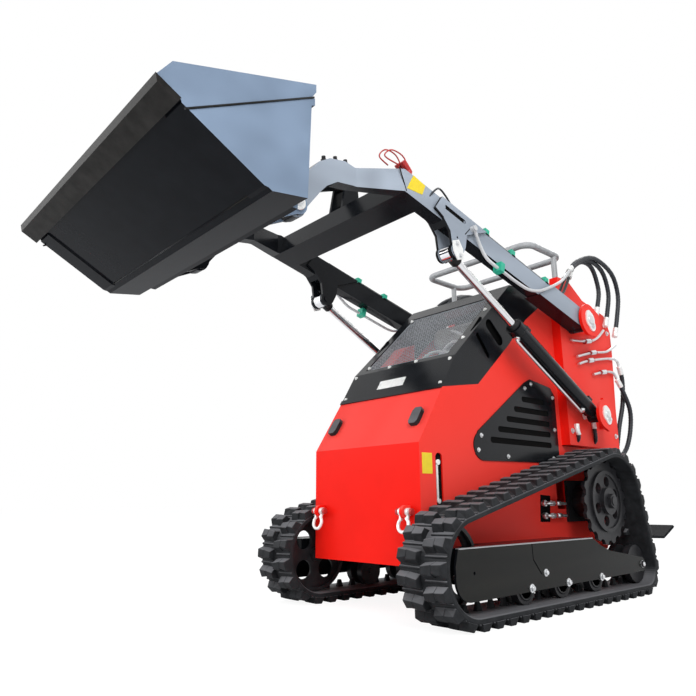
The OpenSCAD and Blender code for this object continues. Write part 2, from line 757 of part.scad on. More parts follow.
module arm_plan() {
    x0 = arm_x - arm_w / 2;
    x1 = arm_x + arm_w / 2;
    n0 = hinge_x - nose_w / 2;
    n1 = hinge_x + nose_w / 2;
    polygon([[x0, pivot_y], [x0, elbow.x - 8], [n0, elbow.x - 161], [n0, hinge.x - 57],
        [n1, hinge.x - 57], [n1, elbow.x - 146], [x1, elbow.x], [x1, pivot_y]]);
}

module arm(s) {
    h = arm_h / 2;
    color(black) placed() at_side(s) difference() {
        union() {
            intersection() {
                side_plate(200, 400) arm_side();
                translate([0, 0, 1000]) linear_extrude(500) arm_plan();
            }
            // Wide box and boss at the pivot
            side_plate(arm_in, arm_out) {
                polygon([on_arm(0, -h - 2), on_arm(0, h + 2), on_arm(250, h + 2),
                    on_arm(345, -h - 2)]);
                translate(pivot) circle(44);
            }
            // Plates that hold the lift cylinder's pin
            for (x = [arm_in, arm_out - gusset_t]) side_plate(x, x + gusset_t) gusset();
            // Curved web across the front of the plates, above the rod's eye
            side_plate(arm_in, arm_out) polygon([for (p = [[-101, 128], [-61, 105], [-40, 80],
                [-32, 86], [-50, 112], [-82, 138]]) upper_pin + p]);
        }
        bar_x(arm_in - 1, arm_out + 1, pivot, pivot_pin_r + fit);
        bar_x(hinge_x - nose_w, hinge_x + nose_w, hinge, hinge_pin_r + fit);
        side_plate(arm_out - 3, arm_out + 1)
            slot2(upper_pin + [-44, 145], upper_pin + [50, 121], 8);
        bar_x(arm_out - gusset_t - 1, arm_out + 1, upper_pin + [8, 50], 4);
    }
    color(zinc) placed() at_side(s) {
        bar_x(arm_out - gusset_t, arm_out + 5, upper_pin, cyl_pin_r);
        bar_x(arm_in - 4, arm_in + gusset_t, upper_pin, cyl_pin_r);
    }
}

module gusset() {
    d = (upper_pin - pivot) * slope_dir;
    polygon(concat([on_arm(d + 104, arm_h / 2)], [for (p = [[-101, 128], [-61, 105], [-28, 65],
        [-21, 17], [-19, -8], [23, -21], [34, -8], [52, 26], [62, 74]]) upper_pin + p],
        [on_arm(d - 147, arm_h / 2)]));
    translate(upper_pin) circle(27);
}

module cross_member() {
    h = arm_h / 2;
    a = arm_len - 12 - cross_s;
    b = arm_len - 12;
    color(black) placed() {
        side_plate(-arm_x + arm_w / 2, arm_x - arm_w / 2) difference() {
            polygon([on_arm(a, -h), on_arm(a, h), on_arm(b, h), on_arm(b, -h)]);
            polygon([on_arm(a + 6, 6 - h), on_arm(a + 6, h - 6), on_arm(b - 6, h - 6),
                on_arm(b - 6, 6 - h)]);
        }
        // Bracket for the tilt cylinder's base pin
        for (x = [-38, 28]) side_plate(x, x + 10) {
            translate(tilt_base) circle(28);
            polygon([tilt_base + [-26, -10], on_arm(b - 2, h - 3), on_arm(a + 4, h - 3),
                tilt_base + [27, 6]]);
        }
        side_plate(-29, 29) polygon([on_arm(b - 30, h - 3), on_arm(a + 30, h - 3),
            on_arm(a + 34, h + 60), on_arm(b - 42, h + 60)]);
        bar_x(-38, 38, tilt_base, cyl_pin_r);
    }
}

// Steel pipes on top of each arm, held by clamps.
pipe_r = 6;

under_pipe = [[783, 3, 45], [735, -34, 37], [685, -58, 31], [640, -62, 29], [560, -62, 29],
    [498, -62, 29], [420, -58, 33], [362, -38, 43], [306, 2, 43], [253, 45, 43],
    [196, 98, 38]];

module arm_pipes() {
    top = arm_h / 2 + pipe_r + 5;
    color(zinc) placed() for (s = [-1, 1]) at_side(s) for (k = [-1, 1]) {
        a = on_arm(170, top);
        b = on_arm(arm_len - 263, top);
        sweep(concat([[arm_x + 11 * k, b.x, b.y]], spline([[arm_x + 11 * k, a.x, a.y],
            [arm_x + 11 * k, 352, 1208], [arm_x + 11 * k, pipe_end.x, pipe_end.y]], 3)), pipe_r);
    }
    // A third pipe runs under each arm and crosses its outer face.
    // Columns: along the arm, up from its middle, out from the arm's middle.
    color(zinc) placed() for (s = [-1, 1]) at_side(s) {
        sweep(spline(concat([for (q = under_pipe) let (p = on_arm(q[0], q[1]))
            [arm_x + q[2], p.x, p.y]], [[arm_x + 30, low_pipe_end.x, low_pipe_end.y]]), 3), pipe_r);
        p = on_arm(under_pipe[0][0], under_pipe[0][1]);
        bar_x(arm_out, arm_out + 18, p, 10);
    }
}

module pipe_clamps() {
    low = on_arm(600, -arm_h / 2);
    color(mint) placed() for (s = [-1, 1]) at_side(s)
        translate([arm_x + 29, low.x, low.y]) rotate([-arm_slope, 0, 0]) difference() {
            translate([-20, -12, -36]) cube([34, 24, 36]);
            translate([0, -13, arm_h / 2 - 62]) rotate([-90, 0, 0])
                cylinder(h = 26, r = pipe_r);
        }
    color(mint) placed() for (s = [-1, 1]) at_side(s) for (d = [288, 520, 685]) {
        p = on_arm(d, arm_h / 2);
        translate([arm_x, p.x, p.y]) rotate([-arm_slope, 0, 0]) difference() {
            translate([-24, -12, 0]) cube([48, 24, 26]);
            for (k = [-1, 1]) translate([11 * k, -13, pipe_r + 5]) rotate([-90, 0, 0])
                cylinder(h = 26, r = pipe_r);
        }
    }
}

module couplers() {
    color("#8f2a26") placed() for (s = [1]) for (k = [0:1]) {
        p = on_arm(arm_len - 24, arm_h / 2);
        translate([arm_x - 12 + 25 * k, p.x, p.y]) rotate([-arm_slope, 0, 0]) {
            cylinder(h = 14, r = 12);
            translate([0, 0, 14]) rotate([60, 0, 0]) cylinder(h = 40, r = 11);
        }
    }
}

// Cylinders, drawn along +Y from the base pin and then turned into place.
module along_line(at, a) {
    translate([0, at.x, at.y]) rotate([-a, 0, 0]) rotate([0, 0, 180]) children();
}

module lift_barrel(s) {
    eye = arm_w - 2 * clear;
    color(black) placed() translate([s * arm_x, 0, 0]) along_line(base_pin, lift_angle)
        difference() {
            union() {
                rotate([0, 90, 0]) cylinder(h = eye, r = 30, center = true);
                translate([0, 18, 0]) rotate([-90, 0, 0]) cylinder(h = 30, r = 22);
                translate([0, 40, 0]) rotate([-90, 0, 0])
                    cylinder(h = lift_barrel_len - 40, r = lift_r);
                translate([0, lift_barrel_len - 34, 0]) rotate([-90, 0, 0])
                    cylinder(h = 34, r = lift_r + 3);
                for (y = [70, lift_barrel_len - 70]) translate([-14, y - 14, lift_r - 6])
                    cube([28, 28, 18]);
            }
            rotate([0, 90, 0]) cylinder(h = eye + 2, r = cyl_pin_r + fit, center = true);
            translate([0, 60, 0]) rotate([-90, 0, 0])
                cylinder(h = lift_barrel_len - 100, r = lift_r - 6);
            translate([0, 60, 0]) rotate([-90, 0, 0])
                cylinder(h = lift_barrel_len, r = lift_rod_r + fit);
        }
}

module lift_rod(s) {
    inside = lift_barrel_len - 270;
    color(zinc) placed() translate([s * arm_x, 0, 0]) along_line(base_pin, lift_angle)
        difference() {
            union() {
                translate([0, inside, 0]) rotate([-90, 0, 0])
                    cylinder(h = lift_len - 20 - inside, r = lift_rod_r);
                translate([0, lift_len - 46, 0]) rotate([-90, 0, 0]) cylinder(h = 28, r = 19);
                translate([0, lift_len, 0]) rotate([0, 90, 0])
                    cylinder(h = arm_w - 2 * clear, r = 26, center = true);
            }
            translate([0, lift_len, 0]) rotate([0, 90, 0])
                cylinder(h = arm_w, r = cyl_pin_r, center = true);
        }
}

tilt_barrel_len = 370;

module tilt_barrel() {
    color(black) placed() along_line(tilt_base, tilt_angle) difference() {
        union() {
            rotate([0, 90, 0]) cylinder(h = 44, r = 25, center = true);
            translate([0, 30, 0]) rotate([-90, 0, 0]) cylinder(h = tilt_barrel_len - 30, r = tilt_r);
            translate([0, 12, 0]) rotate([-90, 0, 0]) cylinder(h = 22, r = 19);
            translate([0, tilt_barrel_len - 28, 0]) rotate([-90, 0, 0])
                cylinder(h = 28, r = tilt_r + 3);
        }
        rotate([0, 90, 0]) cylinder(h = 46, r = cyl_pin_r + fit, center = true);
        translate([0, 40, 0]) rotate([-90, 0, 0]) cylinder(h = tilt_barrel_len, r = 12 + fit);
        translate([0, 40, 0]) rotate([-90, 0, 0]) cylinder(h = tilt_barrel_len - 74, r = tilt_r - 6);
    }
}

module tilt_rod() {
    inside = tilt_barrel_len - 210;
    color(zinc) placed() along_line(tilt_base, tilt_angle) difference() {
        union() {
            translate([0, inside, 0]) rotate([-90, 0, 0])
                cylinder(h = tilt_len - 18 - inside, r = 12);
            translate([0, tilt_len, 0]) rotate([0, 90, 0]) cylinder(h = 44, r = 23, center = true);
        }
        translate([0, tilt_len, 0]) rotate([0, 90, 0])
            cylinder(h = 46, r = cyl_pin_r, center = true);
    }
}

// Bucket. Columns of the outline: distance from the datum, height.
heel = hinge + [-210, -108];
bottom_rear = hinge + [-104, -91];
back_top = hinge + [-94, 199];
bucket_side = [lip, heel, bottom_rear, back_top];
bucket_wing = [for (p = [[-80, 220], [-80, 243], [-478, 109], [-510, 64]]) hinge + p];

module bucket_shell() {
    half = bucket_w / 2;
    inner = inset(bucket_side, bucket_t);
    u = unit(lip - heel);
    color(black) placed() {
        difference() {
            side_plate(-half, half) polygon(concat(bucket_side, bucket_wing));
            side_plate(-half + bucket_t, half - bucket_t)
                polygon([inner[1] + 1.3 * (lip - heel), inner[1], inner[2], inner[3],
                    back_top + [30, 0], back_top + [30, 140], lip + [-60, 120]]);
        }
        // Wear strips along both edges of the floor
        for (s = [-1, 1]) at_side(s) side_plate(half - 75, half) polygon([
            heel + 12 * u, heel + 24 * u + 5 * left_of(u), heel + 272 * u + 5 * left_of(u),
            heel + 278 * u]);
        // Folded rim along the top of the back
        side_plate(-half, half) polygon([back_top + [-3, -26], back_top + [10, -20],
            back_top + [10, 0], back_top + [-3, 0]]);
    }
}

module cutting_edge() {
    half = bucket_w / 2 + edge_over;
    d = unit(lip - heel);
    n = [d.y, -d.x];
    color("#1d1e20") placed() side_plate(-half, half)
        polygon([lip, lip - 70 * d, lip - 70 * d - edge_t * n, lip - 14 * d - edge_t * n]);
}

// Hitch: the plate on the bucket's back with hinge ears and the tilt pin's ears.
hitch_half = bucket_w / 2 - 75;
hitch_y = hinge.x - 79;
function on_back(z) = bottom_rear + [0.02, 0]
    + (z - bottom_rear.y) / (back_top.y - bottom_rear.y) * (back_top - bottom_rear);

module hitch() {
    x0 = hinge_x - nose_w / 2 - clear;
    x1 = hinge_x + nose_w / 2 + clear;
    color(black) placed() {
        side_plate(-hitch_half, hitch_half) polygon([on_back(hinge.y - 84),
            [hitch_y, hinge.y - 84], [hitch_y, hinge.y + 168], on_back(hinge.y + 168)]);
        for (s = [-1, 1]) at_side(s) {
            for (x = [x0 - 8, x1]) side_plate(x, x + 8) {
                translate(hinge) circle(34);
                polygon([hinge + [0, 34], [hitch_y, hinge.y + 76], [hitch_y, hinge.y - 74],
                    hinge + [0, -34]]);
            }
            bar_x(x0 - 8, x1 + 12, hinge, hinge_pin_r);
        }
        for (x = [-38, 28]) side_plate(x, x + 10) {
            translate(tilt_pin) circle(24);
            polygon([tilt_pin + [0, 24], [hitch_y, hinge.y + 168], [hitch_y, hinge.y + 106],
                tilt_pin + [0, -24]]);
        }
    }
}

body_shell();
hood();
hood_mesh();
vent_plates();
engine_block();
muffler();
air_cleaner();
rear_panel();
console();
control_levers();
grab_rail();
platform();
bumpers();
shackles();
level_gauge();
tower(1);  // tower_left
tower(-1);  // tower_right
tower_pins();
tower_tubes();
track(1);  // track_left
track(-1);  // track_right
track_frame(1);  // track_frame_left
track_frame(-1);  // track_frame_right
sprockets();
front_idlers();
rear_idlers();
rollers();
drive_motors();
chassis_hoses();
arm_hoses();
arm(1);  // arm_left
arm(-1);  // arm_right
cross_member();
arm_pipes();
pipe_clamps();
couplers();
lift_barrel(1);  // lift_barrel_left
lift_barrel(-1);  // lift_barrel_right
lift_rod(1);  // lift_rod_left
lift_rod(-1);  // lift_rod_right
tilt_barrel();
tilt_rod();
bucket_shell();
cutting_edge();
hitch();
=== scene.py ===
"""Looks of the mini skid steer loader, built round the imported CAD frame. Metres."""
import json
import math

import bmesh
import bpy
from mathutils import Matrix, Vector


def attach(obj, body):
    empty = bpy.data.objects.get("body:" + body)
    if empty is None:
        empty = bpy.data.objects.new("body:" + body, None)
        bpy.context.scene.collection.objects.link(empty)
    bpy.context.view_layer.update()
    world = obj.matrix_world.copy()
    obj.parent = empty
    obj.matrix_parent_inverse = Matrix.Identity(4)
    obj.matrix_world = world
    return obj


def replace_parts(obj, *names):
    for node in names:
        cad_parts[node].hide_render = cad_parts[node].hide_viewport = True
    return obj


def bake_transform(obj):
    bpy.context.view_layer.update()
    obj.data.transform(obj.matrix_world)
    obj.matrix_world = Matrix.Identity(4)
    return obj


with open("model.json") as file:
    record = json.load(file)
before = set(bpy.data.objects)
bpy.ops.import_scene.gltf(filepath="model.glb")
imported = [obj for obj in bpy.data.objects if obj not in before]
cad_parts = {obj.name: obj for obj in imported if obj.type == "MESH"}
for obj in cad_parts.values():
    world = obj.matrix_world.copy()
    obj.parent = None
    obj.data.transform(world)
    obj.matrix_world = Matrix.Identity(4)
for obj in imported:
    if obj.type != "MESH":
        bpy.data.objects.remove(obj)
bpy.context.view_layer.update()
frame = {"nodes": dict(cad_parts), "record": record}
NODES = frame["nodes"]
scene = bpy.context.scene

# Shared sizes, as in the part's source. A pair is a Y and a Z from the datum under the arms.
MID_Y = 0.2045
HALF_W = 0.262
TOWER_X = 0.300
TRACK_X = (0.270, 0.448)
ARM_X = 0.345
PIVOT = (0.471, 1.101)
BASE_PIN = (0.533, 0.708)
UPPER_PIN = (-0.380, 1.188)
HINGE = (-1.003, 1.184)
SLOPE = math.radians(13.96)
# Unit vectors (Y, Z) along the arms, the lift cylinders and the hood's two slopes.
ARM_WAY = (-math.cos(SLOPE), math.sin(SLOPE))
LIFT_WAY = (-0.8852, 0.4653)
HOOD_WAY = (0.7302, 0.6833)
BROW_WAY = (0.5256, 0.8507)
# Feet of the mesh window's slope and of the slope below it.
HOOD_CREASE = (-0.267, 0.864)
BROW_FOOT = (-0.343, 0.741)
SIDES = ((-1, "right"), (1, "left"))
ACROSS = Vector((1, 0, 0))
REARWARD = Vector((0, 1, 0))
UP = Vector((0, 0, 1))
# An applied plate is sunk this far into the face that it lies on.
SUNK = 0.0005


def at(x, y, z):
    """A place given as the source gives it: Y from the datum under the arms."""
    return Vector((x, y + MID_Y, z))


def on_slope(foot, way, x, s, h):
    """A place s along a slope from its foot and h out from it."""
    return at(x, foot[0] + way[0] * s - way[1] * h, foot[1] + way[1] * s + way[0] * h)


def on_arm(d, h, x=0.0):
    """A place on the arm: d along it from the pivot, h above its middle."""
    return on_slope(PIVOT, ARM_WAY, x, d, -h)


def on_lift(s, h, x=0.0):
    """s along a lift cylinder from its base pin, h above its middle."""
    return on_slope(BASE_PIN, LIFT_WAY, x, s, -h)


def on_hood(x, s, h):
    """s along the mesh window's slope from the crease, h out from it."""
    return on_slope(HOOD_CREASE, HOOD_WAY, x, s, h)


def on_brow(x, s, h):
    """s up the hood's lower slope from its foot, h out from it."""
    return on_slope(BROW_FOOT, BROW_WAY, x, s, h)


def rectangle(y0, y1, z0, z1):
    """Outline of an upright rectangle, as (Y, Z) corners."""
    return [(y0, z0), (y1, z0), (y1, z1), (y0, z1)]


# Camera, fitted to straight features of the photograph.
CAMERA_PLACE = (1.6244, -1.7745, 0.3619)
CAMERA_TURN = (48.42, 13.75, -0.31)
CAMERA_LENS = 32.49


def make_camera():
    yaw, pitch, roll = (math.radians(angle) for angle in CAMERA_TURN)
    look = Vector((-math.sin(yaw) * math.cos(pitch), math.cos(yaw) * math.cos(pitch),
                   math.sin(pitch)))
    right = Vector((math.cos(yaw), math.sin(yaw), 0))
    up = right.cross(look)
    x = right * math.cos(roll) + up * math.sin(roll)
    y = -right * math.sin(roll) + up * math.cos(roll)
    data = bpy.data.cameras.new("camera")
    data.sensor_width = 36
    data.lens = CAMERA_LENS
    data.clip_start, data.clip_end = 0.05, 100
    camera = bpy.data.objects.new("camera", data)
    scene.collection.objects.link(camera)
    turn = Matrix((x, y, -look)).transposed().to_4x4()
    camera.matrix_world = Matrix.Translation(CAMERA_PLACE) @ turn
    scene.camera = camera


# Materials
def node_tree(name):
    m = bpy.data.materials.new(name)
    m.use_nodes = True
    return m, m.node_tree.nodes, m.node_tree.links


# Where a tint starts and where it is full: by the normal's Z for painted light on faces that
# point up, by the normal's X times the place's X for painted reflection on faces that point
# outwards, and in metres past a plane.
TOP_LIGHT_FADE = (0.15, 0.75)
OUTER_REFLECTION_FADE = (0.12, 0.24)
BEYOND_FADE = 0.002
GRAIN_DETAIL = 4
FINE_DETAIL = 3
MIDDLE_OF_NOISE = (0.3, 0.7)
BUMP_DEPTH = 0.001
# Scale of the soft patches in a tint, and the share of it that is always there.
PATCH_SCALE = 2.6
PATCH_SHARE = 0.72


def finish_material(name, color, rough, metallic=0.0, mottle=0.08, grain=60.0, bump=0.0,
                    bump_scale=400.0, rough_spread=0.05, specular=0.5, outer=None, top=None,
                    beyond=None):
    """A procedural finish: mottled colour, uneven roughness and a fine bump.
    outer paints a reflection on the faces that point outwards to the side and top paints light on
    those that point upwards; beyond is a distance from the middle plane and the colour past it."""
    m, nodes, links = node_tree(name)
    shader = nodes["Principled BSDF"]
    shader.inputs["Metallic"].default_value = metallic
    shader.inputs["Specular IOR Level"].default_value = specular
    place = nodes.new("ShaderNodeTexCoord")
    cloud = nodes.new("ShaderNodeTexNoise")
    cloud.inputs["Scale"].default_value = grain
    cloud.inputs["Detail"].default_value = GRAIN_DETAIL
    links.new(place.outputs["Object"], cloud.inputs["Vector"])
    tint = nodes.new("ShaderNodeValToRGB")
    dark, pale = tint.color_ramp.elements
    dark.position, pale.position = MIDDLE_OF_NOISE
    dark.color = [c * (1 - mottle) for c in color] + [1]
    pale.color = [min(1, c * (1 + mottle)) for c in color] + [1]
    links.new(cloud.outputs["Fac"], tint.inputs["Fac"])
    shade = tint.outputs["Color"]
    facing = nodes.new("ShaderNodeNewGeometry")
    # Painted light: faces that point up take the top colour.
    if top:
        upright = nodes.new("ShaderNodeSeparateXYZ")
        links.new(facing.outputs["Normal"], upright.inputs["Vector"])
        shade = tinted(nodes, links, shade, upright.outputs["Z"], *TOP_LIGHT_FADE, top)
    # Painted reflection: faces that point outwards take the outer colour.
    if outer:
        product = nodes.new("ShaderNodeVectorMath")
        product.operation = "MULTIPLY"
        links.new(facing.outputs["Normal"], product.inputs[0])
        links.new(facing.outputs["Position"], product.inputs[1])
        parts = nodes.new("ShaderNodeSeparateXYZ")
        links.new(product.outputs["Vector"], parts.inputs["Vector"])
        shade = tinted(nodes, links, shade, parts.outputs["X"], *OUTER_REFLECTION_FADE, outer)
    if beyond:
        where = nodes.new("ShaderNodeSeparateXYZ")
        links.new(facing.outputs["Position"], where.inputs["Vector"])
        aside = nodes.new("ShaderNodeMath")
        aside.operation = "ABSOLUTE"
        links.new(where.outputs["X"], aside.inputs[0])
        start, past = beyond
        shade = tinted(nodes, links, shade, aside.outputs[0], start, start + BEYOND_FADE, past)
    links.new(shade, shader.inputs["Base Color"])
    spread = nodes.new("ShaderNodeMapRange")
    spread.inputs["To Min"].default_value = max(0.02, rough - rough_spread)
    spread.inputs["To Max"].default_value = min(1, rough + rough_spread)
    links.new(cloud.outputs["Fac"], spread.inputs["Value"])
    links.new(spread.outputs["Result"], shader.inputs["Roughness"])
    if bump:
        fine = nodes.new("ShaderNodeTexNoise")
        fine.inputs["Scale"].default_value = bump_scale
        fine.inputs["Detail"].default_value = FINE_DETAIL
        links.new(place.outputs["Object"], fine.inputs["Vector"])
        lift = nodes.new("ShaderNodeBump")
        lift.inputs["Strength"].default_value = bump
        lift.inputs["Distance"].default_value = BUMP_DEPTH
        links.new(fine.outputs["Fac"], lift.inputs["Height"])
        links.new(lift.outputs["Normal"], shader.inputs["Normal"])
    return m


def tinted(nodes, links, shade, value, low, high, color):
    """Mixes a colour in where value rises from low to high, uneven as a soft reflection is.
    For outer and top it is painted reflection and light; for beyond it is the real colour past a
    plane.
    """
    ramp = nodes.new("ShaderNodeMapRange")
    ramp.interpolation_type = "SMOOTHSTEP"
    ramp.inputs["From Min"].default_value = low
    ramp.inputs["From Max"].default_value = high
    links.new(value, ramp.inputs["Value"])
    patch = nodes.new("ShaderNodeTexNoise")
    patch.inputs["Scale"].default_value = PATCH_SCALE
    patch.inputs["Detail"].default_value = 1
    uneven = nodes.new("ShaderNodeMapRange")
    uneven.inputs["From Min"].default_value = MIDDLE_OF_NOISE[0]
    uneven.inputs["From Max"].default_value = MIDDLE_OF_NOISE[1]
    uneven.inputs["To Min"].default_value = PATCH_SHARE
    links.new(patch.outputs["Fac"], uneven.inputs["Value"])
    share = nodes.new("ShaderNodeMath")
    share.operation = "MULTIPLY"
    links.new(ramp.outputs["Result"], share.inputs[0])
    links.new(uneven.outputs["Result"], share.inputs[1])
    mix = nodes.new("ShaderNodeMix")
    mix.data_type = "RGBA"
    mix.inputs["B"].default_value = (*color, 1)
    links.new(share.outputs[0], mix.inputs["Factor"])
    links.new(shade, mix.inputs["A"])
    return mix.outputs["Result"]


# outer is a painted reflection on the faces that point outwards.
def black_paint(name, outer=None, rough=0.2, specular=0.2):
    return finish_material(name, (0.007, 0.008, 0.010), rough, mottle=0.15, grain=14, bump=0.03,
                           bump_scale=180, specular=specular, outer=outer)


MATERIALS = {
    # Painted light: the red is paler on faces that point outwards, and paler still on faces that
    # point up.
    "red_paint": finish_material("red_paint", (0.88, 0.014, 0.008), 0.3, mottle=0.03, grain=8,
                                 bump=0.03, bump_scale=160, specular=0.05,
                                 outer=(0.90, 0.060, 0.045), top=(0.93, 0.095, 0.080)),
    "gloss_black": black_paint("gloss_black"),
    "satin_black": finish_material("satin_black", (0.010, 0.010, 0.011), 0.45, mottle=0.2,
                                   bump=0.15, bump_scale=300, specular=0.2),
    # Painted light: the tops of the lugs are paler, where light falls on them.
    "rubber": finish_material("rubber", (0.020, 0.021, 0.023), 0.6, mottle=0.35, grain=35,
                              bump=0.4, bump_scale=420, rough_spread=0.12, specular=0.1,
                              top=(0.17, 0.17, 0.18)),
    "zinc": finish_material("zinc", (0.72, 0.73, 0.74), 0.3, metallic=0.85, mottle=0.1,
                            grain=90, bump=0.08),
    "chrome": finish_material("chrome", (0.82, 0.82, 0.83), 0.12, metallic=1.0, mottle=0.03,
                              grain=20, rough_spread=0.03),
    "dark_iron": finish_material("dark_iron", (0.016, 0.016, 0.018), 0.4, mottle=0.35, grain=40,
                                 bump=0.25, bump_scale=260, specular=0.35),
    "edge_steel": finish_material("edge_steel", (0.022, 0.021, 0.020), 0.4, mottle=0.3, grain=25,
                                  bump=0.15, specular=0.04),
    "mesh_steel": finish_material("mesh_steel", (0.40, 0.42, 0.45), 0.35, mottle=0.25),
    "mint_plastic": finish_material("mint_plastic", (0.03, 0.42, 0.27), 0.42, mottle=0.08,
                                    bump=0.06, specular=0.3),
    "coupler_red": finish_material("coupler_red", (0.45, 0.022, 0.020), 0.4, mottle=0.1),
    "engine_grey": finish_material("engine_grey", (0.035, 0.036, 0.038), 0.7, mottle=0.3,
                                   bump=0.3, bump_scale=200),
    "hot_steel": finish_material("hot_steel", (0.20, 0.18, 0.16), 0.5, metallic=0.9,
                                 mottle=0.35, grain=30, bump=0.2),
    "rail_grey": finish_material("rail_grey", (0.36, 0.37, 0.38), 0.35, mottle=0.08,
                                 bump=0.03),
    "grip_plastic": finish_material("grip_plastic", (0.014, 0.014, 0.015), 0.45,
                                    mottle=0.2, bump=0.2, bump_scale=500, specular=0.3),
}
# Finishes for single pieces, over the record's slots.
# Painted reflection: arms, hitch and bucket are pale blue-grey on faces that point outwards, as
# gloss black mirroring the sky.
ARM_BLACK_PAINTED_REFLECTION = black_paint("arm_black_painted_reflection", outer=(0.38, 0.43, 0.50), specular=0.12)
BUCKET_BLACK_PAINTED_REFLECTION = black_paint("bucket_black_painted_reflection", outer=(0.25, 0.33, 0.45), specular=0.04)
# Painted reflection: the track frames and the bucket's beads are a little paler on faces that
# point outwards.
FRAME_BLACK_PAINTED_REFLECTION = black_paint("frame_black_painted_reflection", outer=(0.022, 0.022, 0.020), specular=0.07)
PALE_ZINC = finish_material("pale_zinc", (0.85, 0.85, 0.83), 0.35, metallic=0.3, mottle=0.06,
                            grain=90, bump=0.06)
YELLOW = finish_material("sign_yellow", (0.82, 0.62, 0.015), 0.45, mottle=0.05, bump=0.03)
# Painted shade: near black that fills openings, slots and the gauge's recess, where only shade is
# seen.
SHADE_FILL = finish_material("painted_shade_fill", (0.004, 0.004, 0.004), 0.8, mottle=0.2, bump=0.05,
                           specular=0.05)
HOSE = finish_material("spiral_hose", (0.014, 0.017, 0.023), 0.4, mottle=0.3, grain=50,
                       bump=0.2, bump_scale=300, specular=0.4)
# The arm pipes are black on the arm and plated outside this distance from the middle plane.
PIPE_PLATED_X = 0.365
PIPES = finish_material("arm_pipes", (0.014, 0.015, 0.017), 0.3, mottle=0.1, bump=0.05,
                        beyond=(PIPE_PLATED_X, (0.70, 0.71, 0.72)))
OWN_FINISH = {"arm_left": ARM_BLACK_PAINTED_REFLECTION, "arm_right": ARM_BLACK_PAINTED_REFLECTION, "cross_member": ARM_BLACK_PAINTED_REFLECTION,
              "bucket_shell": BUCKET_BLACK_PAINTED_REFLECTION, "hitch": BUCKET_BLACK_PAINTED_REFLECTION,
              "track_frame_left": FRAME_BLACK_PAINTED_REFLECTION, "track_frame_right": FRAME_BLACK_PAINTED_REFLECTION,
              # The level gauge's slot is filled with painted shade.
              "tower_pins": PALE_ZINC, "shackles": PALE_ZINC, "level_gauge": SHADE_FILL,
              "arm_pipes": PIPES,
              "console": black_paint("console_black", rough=0.5, specular=0.03),
              "platform": black_paint("platform_black", rough=0.5, specular=0.02)}


def dress(obj, slot_name, own=None):
    """Gives a piece its own material if one is given, else the material of the named slot."""
    obj.data.materials.clear()
    obj.data.materials.append(own or MATERIALS[slot_name])


# Edges that are sharper than this many degrees are rounded.
EDGE_ANGLE = 35
EDGE_SEGMENTS = 2


def soften(obj, width):
    """Rounded edges, so that they catch the light."""
    mod = obj.modifiers.new("edges", "BEVEL")
    mod.width = width
    mod.segments = EDGE_SEGMENTS
    mod.limit_method = "ANGLE"
    mod.angle_limit = math.radians(EDGE_ANGLE)
    mod.harden_normals = False


def dress_cad():
    for part in frame["record"]["subparts"]:
        obj = NODES[part["node"]]
        material = OWN_FINISH.get(part["node"], MATERIALS[part["material_slot"]])
        if not obj.data.materials:
            obj.data.materials.append(material)
        for i in range(len(obj.data.materials)):
            obj.data.materials[i] = material


